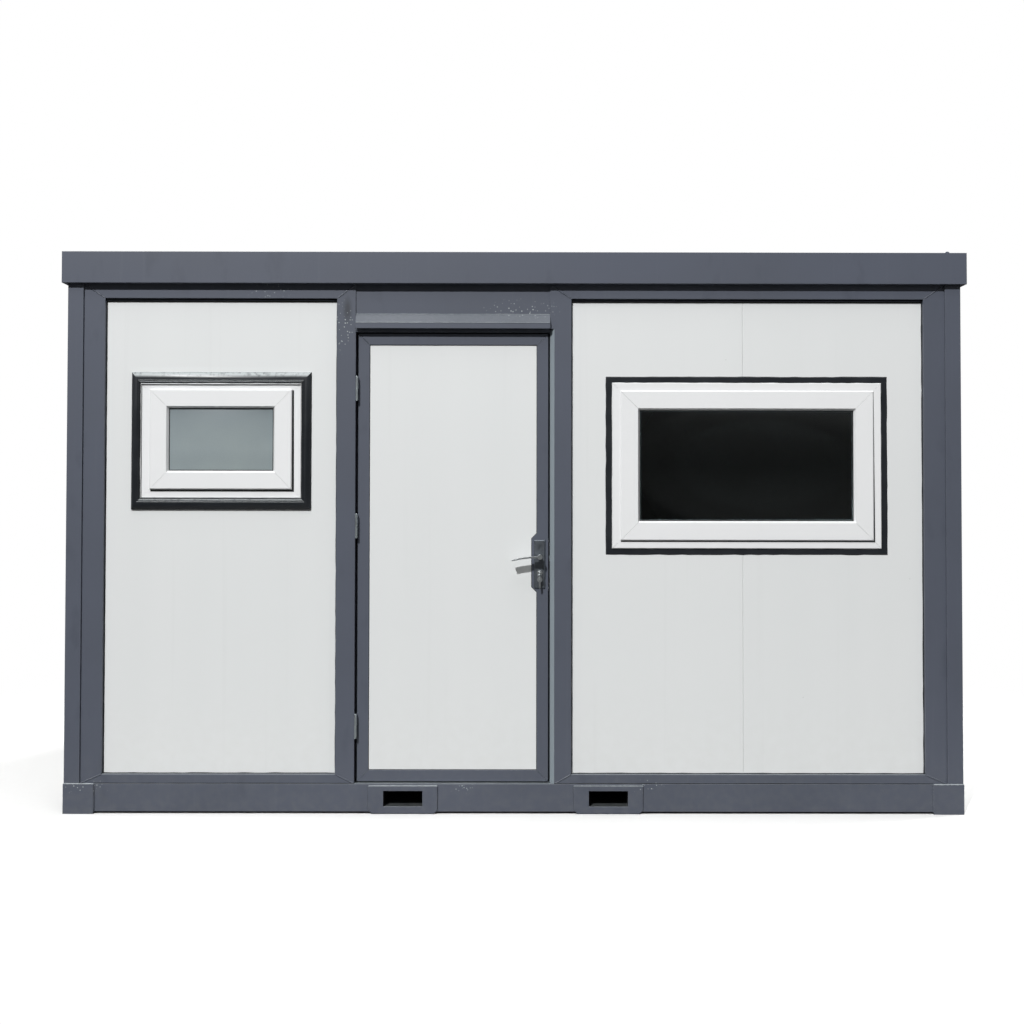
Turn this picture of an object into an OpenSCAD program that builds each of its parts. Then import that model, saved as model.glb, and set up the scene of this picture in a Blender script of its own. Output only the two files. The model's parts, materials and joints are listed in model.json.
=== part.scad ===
// Portable office cabin: a flat-pack steel frame with sandwich wall panels, a hinged door
// and two fixed windows. Millimetres, +Z up. The origin is the middle of the footprint on
// the ground, +X runs along the front to the right, and the front faces -Y.

/* [Overall] */
// Length over the base corner blocks
cabin_len = 4000; // [3800:50:6000]
// Depth over the base corner blocks
cabin_depth = 2400; // [1800:50:3000]
// Height from the ground to the top of the roof fascia
cabin_height = 2500; // [2400:10:3000]

/* [Setbacks behind the corner block face] */
// Base rails
rail_setback = 8; // [4:1:12]
// Corner posts
post_setback = 3; // [0:1:6]
// Trims round the wall bays
trim_setback = 12; // [8:1:20]
// Wall panels behind the trims' faces
panel_recess = 20; // [10:1:30]
// Sheet over the door, behind the trims' faces
transom_recess = 5; // [2:1:10]

/* [Base] */
// Height of the base frame and its corner blocks
base_h = 132; // [120:1:180]
// Length of a corner block's arms
block_arm = 135; // [110:1:180]
// Wall of a corner block
block_t = 8; // [5:1:12]
// Underside of the base rails above the ground
rail_bottom = 10; // [5:1:15]
// Sheet of the base rails
rail_t = 4; // [3:0.5:6]
// Width of the base rails' flanges
rail_flange = 80; // [75:1:100]
// Most distance between floor joists
joist_pitch = 460; // [300:10:600]
// Width of a floor joist
joist_w = 50; // [30:1:70]
// Sheet of a floor joist
joist_t = 3; // [2:0.5:5]

/* [Fork pockets] */
// Middle of the left pocket
pocket_left_x = -493; // [-700:1:-400]
// Middle of the right pocket
pocket_right_x = 420; // [350:1:700]
// Clear width of a pocket
pocket_w = 174; // [140:1:250]
// Clear height of a pocket
pocket_h = 69; // [50:1:72]
// Floor of a pocket above the ground
pocket_bottom = 33; // [24:1:34]
// Wall of the pocket tube
pocket_t = 4; // [3:0.5:6]
// Width of the plate round a pocket
pocket_plate_w = 306; // [270:1:330]
// Underside of the pocket plate above the ground
pocket_plate_bottom = 2; // [1:1:8]
// Height of the pocket plate
pocket_plate_h = 120; // [110:1:125]
// Thickness of the pocket plate
pocket_plate_t = 6; // [3:0.5:8]
// Cut corner of the pocket plate
pocket_plate_chamfer = 15; // [5:1:20]

/* [Floor] */
// Floor board
deck_t = 18; // [15:1:22]
// Floor covering
covering_t = 3; // [2:0.5:5]

/* [Walls] */
// Thickness of a sandwich panel
wall_t = 40; // [40:1:80]
// Corner post sheet
post_t = 4; // [2:0.5:6]
// Joint between the two panels right of the door
right_joint_x = 1025; // [900:5:1200]
// Panels in the back wall
back_panels_n = 4; // [3:1:6]
// Panels in each side wall
side_panels_n = 2; // [2:1:4]
// Length of a panel's tongue
tongue_len = 12; // [8:1:18]
// Thickness of a panel's tongue
tongue_t = 14; // [8:1:18]
// Clearance round a tongue, and between the panels' edges
panel_clear = 0.6; // [0.3:0.1:0.9]
// Small bevel on a panel's upright edges
panel_bevel = 1.5; // [0.5:0.5:3]

/* [Bay trims] */
// Sheet of the trims
trim_t = 3; // [2:0.5:5]
// Trim beside a corner post
post_trim_w = 95; // [60:1:120]
// Trim under the roof
top_trim_h = 64; // [40:1:90]
// Trim over the base rail
bottom_trim_h = 41; // [25:1:60]

/* [Roof] */
// Height of the roof fascia
fascia_h = 140; // [110:1:180]
// How far the fascia stands out from the posts
fascia_out = 22; // [10:1:40]
// Sheet of the fascia
fascia_t = 3; // [2:0.5:4]
// Height of the roof frame
roof_frame_h = 120; // [80:1:130]
// Sheet of the roof frame
roof_frame_t = 4; // [3:0.5:6]
// Ceiling panel
ceiling_t = 18; // [10:1:30]
// Roof sheet
roof_sheet_t = 2; // [1:0.5:3]
// Height of the roof sheet's ribs
rib_h = 18; // [8:1:18]
// Width of a rib at its foot
rib_foot = 70; // [50:1:90]
// Width of a rib at its top
rib_top = 36; // [20:1:40]
// Most distance between ribs
rib_pitch = 260; // [200:10:400]
// Middle of the small tab on the fascia, in from the right corner
lug_inset = 79; // [60:1:200]
// Height of the small tab
lug_h = 10; // [5:1:20]
// Width of the tab at its foot
lug_foot = 32; // [20:1:60]
// Width of the tab at its tip
lug_tip = 8; // [4:1:18]

/* [Door] */
// Hinge edge of the leaf
leaf_left_x = -700; // [-800:1:-600]
// Width of the leaf
leaf_w = 852; // [700:1:900]
// Height of the leaf
leaf_h = 2001; // [1900:1:2030]
// Underside of the leaf above the ground
leaf_bottom = 139; // [139:1:150]
// Thickness of the leaf
leaf_t = 40; // [36:1:50]
// Stiles and rails of the leaf
stile_w = 50; // [45:1:80]
// How far the white infill lies behind the stiles
infill_recess = 4; // [1:0.5:8]
// Gap at the hinge edge
hinge_gap = 11; // [9:0.5:16]
// Gap at the lock edge
lock_gap = 8; // [6:0.5:12]
// Gap over the leaf
head_gap = 6; // [5:0.5:10]
// Least gap between the closed leaf and its stop
stop_gap = 5; // [5:0.5:8]
// How far the stop laps behind the leaf
stop_lap = 8; // [4:1:10]
// How far the stop lies on the jambs
stop_seat = 20; // [10:1:30]
// Thickness of the stop
stop_t = 10; // [5:1:15]
// Hinge jamb
hinge_jamb_w = 84; // [60:1:120]
// Lock jamb
lock_jamb_w = 95; // [80:1:120]
// Bevel on the lock jamb
lock_bevel_w = 19; // [8:1:25]
// Jamb sheet
jamb_t = 3; // [2:0.5:5]
// Threshold plate
threshold_t = 2; // [1:0.5:2]

/* [Drip cap] */
// Lip over the leaf's top
drip_gap = 20; // [10:1:40]
// Height of the upright lip
drip_lip_h = 26; // [10:1:40]
// Height of the sloped part
drip_slope_h = 40; // [20:1:60]
// How far the lip stands out from the sheet over the door
drip_out = 22; // [15:1:40]
// Sheet of the drip cap
drip_t = 2; // [1:0.5:3]

/* [Hinges] */
// Outer hinges' middles, in from the leaf's bottom and top
hinge_inset = 248; // [150:1:300]
// Middle hinge under the top one
middle_hinge_drop = 615; // [300:1:800]
// Length of a hinge barrel
barrel_len = 106; // [60:1:140]
// Diameter of a hinge barrel
barrel_d = 11; // [8:0.5:11]
// Diameter of the hinge pin
pin_d = 6; // [4:0.5:7]
// Radial clearance round pins
pin_clear = 0.05; // [0.02:0.01:0.1]
// Gap between the two halves of a barrel
knuckle_gap = 0.3; // [0.2:0.1:0.9]
// Pin axis in front of the leaf's face
pin_forward = 22; // [18:1:26]
// Thickness of a hinge flag
flag_t = 2.5; // [2:0.5:3]
// How far a flag reaches beside the leaf
flag_reach = 24; // [15:1:34]

/* [Handle] */
// Backset of the lever and the lock
backset = 38; // [30:1:45]
// Height of the lever's axis
lever_z = 1140; // [1000:1:1200]
// Lever to lock
lock_pitch = 72; // [70:1:92]
// Width of the handle plates
plate_w = 50; // [40:1:56]
// Top of the handle plates over the lever's axis
plate_above = 75; // [50:1:100]
// Bottom of the handle plates under the lever's axis
plate_below = 141; // [110:1:160]
// Thickness of the handle plates
plate_t = 8; // [6:1:12]
// Bevel of the handle plates
plate_bevel = 4; // [1:0.5:5]
// Diameter of the lever's neck
neck_d = 18; // [14:1:22]
// Clearance round the neck and the lock
neck_clear = 0.3; // [0.1:0.1:0.5]
// Middle of the lever's blade in front of the leaf
lever_out = 47; // [40:1:60]
// Reach of the lever from its axis
lever_len = 124; // [100:1:140]
// How far the lever's tip drops
lever_drop = 15; // [0:1:25]
// Depth of the lever's blade
blade_depth = 24; // [14:1:28]
// Thickness of the lever's blade at its root
blade_t = 8; // [6:0.5:12]
// Share of that thickness lost by its tip
blade_taper = 0.25; // [0:0.05:0.5]
// Diameter of the lever's root
root_d = 22; // [16:1:28]
// Spindle across the flats
spindle_w = 8; // [6:1:10]
// Bore for the spindle in the leaf
spindle_bore_d = 20; // [16:1:24]
// How far the lock box reaches beside the stile; its corners are cut by as much
lock_box_reach = 23; // [10:1:40]
// Height of the lock box where it meets the stile
lock_box_h = 262; // [240:1:300]
// Middle of the lock box under the lever's axis
lock_box_drop = 27; // [20:1:40]
// Diameter of the lock cylinder
lock_d = 17; // [14:0.5:20]
// Diameter of the rose round the lock
rose_d = 25; // [22:1:32]
// Thickness of the rose round the lock
rose_t = 2; // [1:0.5:3]
// Height of the keyway
keyway_h = 9.35; // [8:0.05:10]
// Depth of the keyway
keyway_depth = 3; // [1:0.5:5]
// Clearance beside a key in its keyway
keyway_clear = 0.1; // [0.05:0.05:0.3]
// Width of the lock's tail
lock_tail_w = 10; // [8:0.5:12]
// Reach of the tail under the cylinder's middle
lock_tail_h = 24; // [16:1:28]
// How far the lock stands out of the plates
lock_out = 4; // [2:0.5:8]
// Diameter of a key's head
key_head_d = 23; // [18:1:28]
// Thickness of a key
key_t = 2.4; // [1.5:0.1:3]
// Clear length of the key's shank in front of the lock
key_out = 4; // [2:0.5:10]

/* [Small window] */
// Middle of the small window
small_x = -1313; // [-1400:1:-1200]
// Height of its middle
small_z = 1657; // [1500:1:1700]
// Frame width
small_w = 713; // [500:1:800]
// Frame height
small_h = 508; // [420:1:600]
// Frame left showing beside the sash
small_margin_x = 39; // [20:1:45]
// Frame left showing over and under the sash
small_margin_z = 30.5; // [20:0.5:45]
// Face width of the sash
small_sash_face = 84; // [60:1:100]
// Sash stands out from the frame
small_sash_out = 13; // [5:1:18]
// Sash middle over the frame's middle
small_sash_lift = 6; // [0:1:10]
// Trim beside the frame
small_trim_w = 45; // [30:1:60]
// Trim over and under the frame
small_trim_h = 53; // [30:1:60]
// Edge height of the raised trim
small_trim_edge = 9; // [4:1:12]
// Full height of the raised trim
small_trim_out = 20; // [14:1:25]
// Width of the raised trim's bevel
small_trim_bevel = 22; // [10:1:26]

/* [Large window] */
// Middle of the large window
large_x = 1042; // [1000:1:1080]
// Height of its middle
large_z = 1549; // [1450:1:1650]
// Frame width
large_w = 1202; // [900:1:1250]
// Frame height
large_h = 738; // [600:1:900]
// Frame left showing round the sash
large_margin = 33.5; // [20:0.5:45]
// Face width of the sash
large_sash_face = 88; // [60:1:100]
// Sash stands out from the frame
large_sash_out = 6; // [4:1:15]
// Trim round the frame
large_trim_w = 27; // [15:1:40]
// Thickness of the flat trims
flat_trim_t = 3; // [1:0.5:5]

/* [Both windows] */
// Frame depth through the wall
frame_depth = 62; // [60:1:100]
// Frame stands out from the panel
frame_out = 10; // [4:1:12]
// Face width of the frame
frame_face = 58; // [50:1:60]
// Clearance between the frame and the sash inside it
sash_clear = 3; // [2:0.5:4]
// Depth of the sash inside the frame
sash_depth = 46; // [40:1:50]
// Thickness of a glass unit
glass_t = 20; // [16:1:28]
// Glass behind the sash's face
glass_recess = 16; // [10:1:18]
// Bevel on the sashes' edges
sash_bevel = 4; // [1:0.5:5]
// Width of the glazing bead's slope
bead_slope = 9; // [4:1:12]
// Width of the trims inside the room
inner_trim_w = 30; // [20:1:50]
// Length of a window handle's grip from its neck
handle_len = 115; // [90:1:140]
// Width of its base
handle_base_w = 66; // [50:1:80]
// Height of its base
handle_base_h = 28; // [22:1:34]
// Thickness of its base
handle_base_t = 10; // [6:1:14]
// Clear length of its neck
handle_neck = 16; // [12:1:24]
// Diameter of its neck
handle_neck_d = 16; // [12:1:20]
// Height of its grip
handle_grip_h = 18; // [12:1:22]
// Thickness of its grip
handle_grip_t = 12; // [8:1:16]

/* [Hidden] */
$fn = 48;

// How far a cut reaches past the face that it opens
slack = 1;

paint = "#5a5f6a";
panel_white = "#dfe2e2";
upvc = "#eceded";

half_len = cabin_len / 2;
half_depth = cabin_depth / 2;
wall_top = cabin_height - fascia_h;

// Distances behind the corner block's face
panel_setback = trim_setback + panel_recess;
inner_setback = panel_setback + wall_t;
post_w = inner_setback - post_setback;
room_x = half_len - inner_setback;
room_y = half_depth - inner_setback;

// Faces of the front wall
trim_y = -(half_depth - trim_setback);
panel_y = -(half_depth - panel_setback);
transom_y = trim_y + transom_recess;
leaf_y = panel_y;
leaf_back_y = leaf_y + leaf_t;
// The jambs reach the room's face, or further where the stop needs it
jamb_back_y = max(leaf_back_y + stop_gap, -room_y);

// The doorway
leaf_right_x = leaf_left_x + leaf_w;
leaf_top = leaf_bottom + leaf_h;
opening_left_x = leaf_left_x - hinge_gap;
opening_right_x = leaf_right_x + lock_gap;
opening_top = leaf_top + head_gap;
hinge_jamb_x = opening_left_x - hinge_jamb_w;
lock_jamb_x = opening_right_x + lock_jamb_w;
drip_bottom = leaf_top + drip_gap;

// Wall bays between their trims
bay_low = base_h + bottom_trim_h;
bay_high = wall_top - top_trim_h;

// Floor
floor_z = base_h + covering_t;
joist_low = rail_bottom + rail_t;
joist_high = base_h - deck_t;

// Hinges
pin_x = leaf_left_x - hinge_gap / 2;
pin_y = leaf_y - pin_forward;
top_hinge_z = leaf_top - hinge_inset;
hinge_heights = [leaf_bottom + hinge_inset, top_hinge_z - middle_hinge_drop, top_hinge_z];

// Handle
lever_x = leaf_right_x - backset;
lock_z = lever_z - lock_pitch;
plate_y = leaf_y - plate_t;
plate_back_y = leaf_back_y + plate_t;
blade_y = leaf_y - lever_out;
inner_blade_y = leaf_back_y + lever_out;

// Windows: sizes of the sashes and the glass
frame_y = panel_y - frame_out;
small_sash_w = small_w - 2 * small_margin_x;
small_sash_h = small_h - 2 * small_margin_z;
small_glass_w = small_sash_w - 2 * small_sash_face;
small_glass_h = small_sash_h - 2 * small_sash_face;
large_sash_w = large_w - 2 * large_margin;
large_sash_h = large_h - 2 * large_margin;
large_glass_w = large_sash_w - 2 * large_sash_face;
large_glass_h = large_sash_h - 2 * large_sash_face;

// Turn what is made for the front wall to another side
module to_back() rotate(180) children();
module to_right() rotate(90) children();
module to_left() rotate(-90) children();

module to_corners(x, y) {
    for (sx = [0, 1], sy = [0, 1])
        mirror([sx, 0, 0]) mirror([0, sy, 0]) translate([x, y, 0]) children();
}

// A flat shape drawn in X and Z, from y to y + t
module upright(y, t) {
    translate([0, y + t, 0]) rotate([90, 0, 0]) linear_extrude(t) children();
}

// A box between two corners
module block(low, high) {
    translate(low) cube(high - low);
}

module centred_rect(w, h) square([w, h], center = true);

// A rectangular ring, drawn round its middle
module ring(w, h, side, level) {
    difference() {
        centred_rect(w, h);
        centred_rect(w - 2 * side, h - 2 * level);
    }
}

// A channel along X, its web at the front and its flanges towards +Y
module channel(x0, x1, y, z0, z1, t, flange) {
    block([x0, y, z0], [x1, y + t, z1]);
    block([x0, y, z0], [x1, y + flange, z0 + t]);
    block([x0, y, z1 - t], [x1, y + flange, z1]);
}

// ---- Base ----
// Corner blocks: angle shaped boxes, open below
module block_plan(inset) {
    a = inset;
    b = block_arm - inset;
    c = inner_setback - inset;
    polygon([[a, a], [b, a], [b, c], [c, c], [c, b], [a, b]]);
}

module corner_blocks() {
    color(paint) to_corners(-half_len, -half_depth) difference() {
        linear_extrude(base_h) block_plan(0);
        translate([0, 0, -slack]) linear_extrude(base_h + slack - block_t) block_plan(block_t);
    }
}

module pocket_holes(extra) {
    for (x = [pocket_left_x, pocket_right_x])
        block([x - pocket_w / 2 - extra, -half_depth - slack, pocket_bottom - extra],
              [x + pocket_w / 2 + extra, half_depth + slack, pocket_bottom + pocket_h + extra]);
}

module long_base_rail() {
    x = half_len - block_arm;
    channel(-x, x, -half_depth + rail_setback, rail_bottom, base_h, rail_t, rail_flange);
}

module long_base_rails() {
    color(paint) difference() {
        union() {
            long_base_rail();
            mirror([0, 1, 0]) long_base_rail();
        }
        pocket_holes(pocket_t);
    }
}

module side_base_rail() {
    y = half_depth - block_arm;
    channel(-y, y, -half_len + rail_setback, rail_bottom, base_h, rail_t, rail_flange);
}

module side_base_rails() {
    color(paint) {
        to_left() side_base_rail();
        to_right() side_base_rail();
    }
}

module fork_tubes() {
    y = half_depth - rail_setback;
    t = pocket_t;
    color("#3a3e45") difference() {
        for (x = [pocket_left_x, pocket_right_x])
            block([x - pocket_w / 2 - t, -y, pocket_bottom - t],
                  [x + pocket_w / 2 + t, y, pocket_bottom + pocket_h + t]);
        pocket_holes(0);
    }
}

module fork_plate_shape() {
    w = pocket_plate_w / 2;
    c = pocket_plate_chamfer;
    low = pocket_plate_bottom;
    high = low + pocket_plate_h;
    polygon([[-w, low + c], [-w + c, low], [w - c, low], [w, low + c], [w, high], [-w, high]]);
}

module fork_plates() {
    y = half_depth - rail_setback;
    color(paint) difference() {
        for (x = [pocket_left_x, pocket_right_x], side = [-y - pocket_plate_t, y])
            translate([x, 0, 0]) upright(side, pocket_plate_t) fork_plate_shape();
        pocket_holes(0);
    }
}

// Joists lie across the cabin, spread evenly on each side of the pockets
module joist(x) {
    y = half_depth - rail_setback - rail_t;
    translate([x, 0, 0]) difference() {
        block([-joist_w / 2, -y, joist_low], [joist_w / 2, y, joist_high]);
        block([-joist_w / 2 + joist_t, -y - slack, joist_low + joist_t],
              [joist_w / 2 + slack, y + slack, joist_high - joist_t]);
    }
}

module joists_between(x0, x1) {
    n = ceil((x1 - x0) / joist_pitch);
    for (i = [1 : n - 1]) joist(x0 + (x1 - x0) * i / n);
}

module floor_joists() {
    end = half_len - rail_setback;
    color("#4d525c") {
        joists_between(-end, pocket_left_x);
        joists_between(pocket_left_x, pocket_right_x);
        joists_between(pocket_right_x, end);
    }
}

// ---- Floor ----
module floor_deck() {
    x = half_len - rail_setback - rail_flange;
    y = half_depth - rail_setback - rail_flange;
    color("#a98d63") block([-x, -y, joist_high], [x, y, base_h]);
}

// The covering is cut round the jambs, which reach into the room
module floor_covering() {
    color("#8d8f8f") difference() {
        block([-room_x, -room_y, base_h], [room_x, room_y, floor_z]);
        for (x = [[hinge_jamb_x, opening_left_x], [opening_right_x, lock_jamb_x]])
            block([x[0], -room_y - slack, base_h - slack],
                  [x[1], jamb_back_y, floor_z + slack]);
    }
}

// ---- Frame ----
module corner_posts() {
    t = post_t;
    color(paint) to_corners(-half_len + post_setback, -half_depth + post_setback)
        translate([0, 0, base_h]) linear_extrude(wall_top - base_h) difference() {
            square(post_w);
            translate([t, t]) square(post_w - 2 * t);
        }
}

// A channel ring on the posts, open towards the roof space
module roof_frame() {
    x = half_len - post_setback;
    y = half_depth - post_setback;
    t = roof_frame_t;
    color(paint) translate([0, 0, wall_top]) difference() {
        block([-x, -y, 0], [x, y, roof_frame_h]);
        block([-room_x, -room_y, -slack], [room_x, room_y, roof_frame_h + slack]);
        block([-x + t, -y + t, t], [x - t, y - t, roof_frame_h - t]);
    }
}

// ---- Roof ----
// Section of the fascia: face, top, inner lip and bottom return, from its outer corner
module fascia_section() {
    t = fascia_t;
    top = fascia_h;
    deep = fascia_out + post_w;
    polygon([[0, 0], [fascia_out, 0], [fascia_out, t], [t, t], [t, top - t],
             [deep - t, top - t], [deep - t, roof_frame_h], [deep, roof_frame_h],
             [deep, top], [0, top]]);
}

// One mitred fascia along X; half is its half length, back the distance of its face
module fascia(half, back) {
    deep = fascia_out + post_w;
    intersection() {
        translate([-half, -back, wall_top]) rotate([90, 0, 90])
            linear_extrude(2 * half) fascia_section();
        translate([0, 0, wall_top]) linear_extrude(fascia_h)
            polygon([[-half, -back], [half, -back],
                     [half - deep, -back + deep], [-half + deep, -back + deep]]);
    }
}

module long_fascias() {
    x = half_len - post_setback + fascia_out;
    y = half_depth - post_setback + fascia_out;
    color(paint) {
        fascia(x, y);
        to_back() fascia(x, y);
    }
}

module side_fascias() {
    x = half_len - post_setback + fascia_out;
    y = half_depth - post_setback + fascia_out;
    color(paint) {
        to_left() fascia(y, x);
        to_right() fascia(y, x);
    }
}

// Ribbed roof sheet between the frame's top flanges
module roof_sheet() {
    n = floor(2 * room_x / rib_pitch);
    pitch = 2 * room_x / n;
    t = roof_sheet_t;
    ribs = [for (i = [0 : n - 1])
        let (x = -room_x + pitch * (i + 0.5))
        each [[x - rib_foot / 2, 0], [x - rib_top / 2, rib_h],
              [x + rib_top / 2, rib_h], [x + rib_foot / 2, 0]]];
    upper = [for (p = ribs) [p[0], p[1] + t]];
    lower = [for (i = [len(ribs) - 1 : -1 : 0]) ribs[i]];
    color("#b9bfc2") translate([0, 0, wall_top + roof_frame_h - roof_frame_t])
        upright(-room_y, 2 * room_y)
            polygon(concat([[-room_x, t]], upper, [[room_x, t], [room_x, 0]],
                           lower, [[-room_x, 0]]));
}

module ceiling_panel() {
    color(panel_white) block([-room_x, -room_y, wall_top], [room_x, room_y, wall_top + ceiling_t]);
}

// A small bent tab on the front fascia
module roof_lug() {
    x = half_len - post_setback + fascia_out - lug_inset;
    y = -half_depth + post_setback;
    foot = lug_foot / 2;
    tip = lug_tip / 2;
    color(paint) translate([x, 0, cabin_height]) upright(y, fascia_t)
        polygon([[-foot, 0], [foot, 0], [tip, lug_h], [-tip, lug_h]]);
}

// ---- Wall panels ----
// Plan of a panel from x0 to x1, with a tongue or a groove where it meets another
module panel_plan(x0, x1, groove, tongue) {
    mid = wall_t / 2;
    b = panel_bevel;
    c = panel_clear;
    left = groove ? x0 + c / 2 : x0;
    right = tongue ? x1 - c / 2 : x1;
    gt = tongue_t / 2 + c;
    tt = tongue_t / 2;
    groove_end = left + tongue_len + c;
    groove_points = groove ? [[left, mid - gt], [groove_end, mid - gt],
                              [groove_end, mid + gt], [left, mid + gt]] : [];
    tongue_points = tongue ? [[right, mid + tt], [right + tongue_len, mid + tt],
                              [right + tongue_len, mid - tt], [right, mid - tt]] : [];
    polygon(concat([[left, b]], groove_points, [[left, wall_t - b], [left + b, wall_t],
                    [right - b, wall_t], [right, wall_t - b]], tongue_points,
                   [[right, b], [right - b, 0], [left + b, 0]]));
}

module panel(x0, x1, y, groove, tongue) {
    translate([0, y, base_h]) linear_extrude(wall_top - base_h)
        panel_plan(x0, x1, groove, tongue);
}

// A closed wall of n equal panels between two posts
module panel_row(half, y, n) {
    w = 2 * half / n;
    for (i = [0 : n - 1]) panel(-half + i * w, -half + (i + 1) * w, y, i > 0, i < n - 1);
}

module window_cut(x, z, w, h) {
    translate([x, 0, z]) upright(panel_y - slack, wall_t + 2 * slack) centred_rect(w, h);
}

module front_panel_left() {
    color(panel_white) difference() {
        panel(-room_x, hinge_jamb_x, panel_y, false, false);
        window_cut(small_x, small_z, small_w, small_h);
    }
}

module front_panels_right() {
    color(panel_white) difference() {
        union() {
            panel(lock_jamb_x, right_joint_x, panel_y, false, true);
            panel(right_joint_x, room_x, panel_y, true, false);
        }
        window_cut(large_x, large_z, large_w, large_h);
    }
}

module side_panels() {
    y = -(half_len - panel_setback);
    color(panel_white) {
        to_left() panel_row(room_y, y, side_panels_n);
        to_right() panel_row(room_y, y, side_panels_n);
    }
}

module back_panels() {
    color(panel_white) to_back() panel_row(room_x, panel_y, back_panels_n);
}

// ---- Doorway ----
module door_transom() {
    color(paint) block([opening_left_x, transom_y, opening_top],
                       [opening_right_x, jamb_back_y, wall_top]);
}

module hinge_jamb() {
    t = jamb_t;
    front = trim_y + trim_t;
    color(paint) difference() {
        block([hinge_jamb_x, front, base_h], [opening_left_x, jamb_back_y, wall_top]);
        block([hinge_jamb_x + t, front + t, base_h - slack],
              [opening_left_x - t, jamb_back_y - t, wall_top + slack]);
    }
}

// The lock jamb is bevelled beside the leaf, and square behind the drip cap and above
module lock_jamb() {
    t = jamb_t;
    front = trim_y + trim_t;
    x0 = opening_right_x;
    bevel_x = x0 + lock_bevel_w;
    color("#5f6570") difference() {
        union() {
            translate([0, 0, base_h]) linear_extrude(drip_bottom - base_h)
                polygon([[x0, leaf_y], [bevel_x, trim_y], [bevel_x, front],
                         [lock_jamb_x, front], [lock_jamb_x, jamb_back_y], [x0, jamb_back_y]]);
            block([x0, front, drip_bottom], [lock_jamb_x, jamb_back_y, wall_top]);
        }
        block([bevel_x + t, front + t, base_h - slack],
              [lock_jamb_x - t, jamb_back_y - t, wall_top + slack]);
    }
}

// Stop behind the leaf, on the jambs and the transom
module door_stop() {
    x0 = opening_left_x - stop_seat;
    x1 = opening_right_x + stop_seat;
    high = opening_top + stop_seat;
    color(paint) upright(jamb_back_y, stop_t) difference() {
        translate([x0, floor_z]) square([x1 - x0, high - floor_z]);
        translate([leaf_left_x + stop_lap, floor_z - slack])
            square([leaf_w - 2 * stop_lap, leaf_top - stop_lap - floor_z + slack]);
    }
}

module threshold() {
    color("#b4b8ba") block([opening_left_x, trim_y, base_h],
                           [opening_right_x, -room_y, base_h + threshold_t]);
}

// Section of the drip cap in Y and Z: slope, lip and their sheet
module drip_section() {
    t = drip_t;
    lip = drip_lip_h;
    top = drip_lip_h + drip_slope_h;
    polygon([[0, top], [-drip_out, lip], [-drip_out, 0], [t - drip_out, 0],
             [t - drip_out, lip - t], [0, top - 2 * t]]);
}

module drip_cap() {
    width = opening_right_x - opening_left_x;
    color("#6a7079") translate([opening_left_x, transom_y, drip_bottom])
        rotate([90, 0, 90]) {
            linear_extrude(width) drip_section();
            for (x = [0, width - drip_t])
                translate([0, 0, x]) linear_extrude(drip_t)
                    polygon([[0, drip_lip_h + drip_slope_h], [-drip_out, drip_lip_h],
                             [-drip_out, 0], [0, drip_lip_h]]);
        }
}

// ---- Trims round the wall bays ----
// An upright trim beside a post at x = side * half, with a lip back to the panel
module post_trim(half, side, face) {
    out = side * half;
    in = side * (half - post_trim_w);
    lip = min(in, in + side * trim_t);
    upright(face, trim_t)
        polygon([[out, base_h], [in, bay_low], [in, bay_high], [out, wall_top]]);
    block([lip, face, bay_low], [lip + trim_t, face + panel_recess, bay_high]);
}

module wall_uprights(half, face) {
    post_trim(half, -1, face);
    post_trim(half, 1, face);
}

// Trims over the jambs, mitred like the rest
module jamb_trims() {
    bevel_x = opening_right_x + lock_bevel_w;
    upright(trim_y, trim_t) {
        polygon([[opening_left_x, base_h], [hinge_jamb_x, bay_low],
                 [hinge_jamb_x, bay_high], [opening_left_x, wall_top]]);
        polygon([[bevel_x, base_h], [lock_jamb_x, bay_low], [lock_jamb_x, bay_high],
                 [opening_right_x, wall_top], [opening_right_x, drip_bottom],
                 [bevel_x, drip_bottom]]);
    }
}

module upright_trims() {
    side_y = -(half_len - trim_setback);
    color(paint) {
        wall_uprights(room_x, trim_y);
        to_back() wall_uprights(room_x, trim_y);
        to_left() wall_uprights(room_y, side_y);
        to_right() wall_uprights(room_y, side_y);
        jamb_trims();
    }
}

// Top and bottom trims of one bay, from their outer ends to the ends of the bay inside them
module bay_levels(top, bottom, inner, face) {
    upright(face, trim_t) {
        polygon([[top[0], wall_top], [inner[0], bay_high], [inner[1], bay_high],
                 [top[1], wall_top]]);
        polygon([[bottom[0], base_h], [inner[0], bay_low], [inner[1], bay_low],
                 [bottom[1], base_h]]);
    }
    for (z = [bay_high, bay_low - trim_t])
        block([inner[0], face, z], [inner[1], face + panel_recess, z + trim_t]);
}

module closed_wall_levels(half, face) {
    in = half - post_trim_w;
    bay_levels([-half, half], [-half, half], [-in, in], face);
}

module level_trims() {
    side_y = -(half_len - trim_setback);
    in = room_x - post_trim_w;
    left = [-room_x, opening_left_x];
    bevel_x = opening_right_x + lock_bevel_w;
    color(paint) {
        bay_levels(left, left, [-in, hinge_jamb_x], trim_y);
        bay_levels([opening_right_x, room_x], [bevel_x, room_x], [lock_jamb_x, in], trim_y);
        to_back() closed_wall_levels(room_x, trim_y);
        to_left() closed_wall_levels(room_y, side_y);
        to_right() closed_wall_levels(room_y, side_y);
    }
}

// ---- Windows ----
// A bevelled slab, its back at y = 0 and its face at y = -t
module bevelled_slab(w, h, t, bevel, bevel_t) {
    rotate([90, 0, 0]) {
        linear_extrude(t - bevel_t) centred_rect(w, h);
        translate([0, 0, t - bevel_t])
            linear_extrude(bevel_t, slices = 1,
                           scale = [(w - 2 * bevel) / w, (h - 2 * bevel) / h])
                centred_rect(w, h);
    }
}

// uPVC frame in the wall
module window_frame(x, z, w, h) {
    translate([x, 0, z]) upright(frame_y, frame_depth) ring(w, h, frame_face, frame_face);
}

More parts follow.
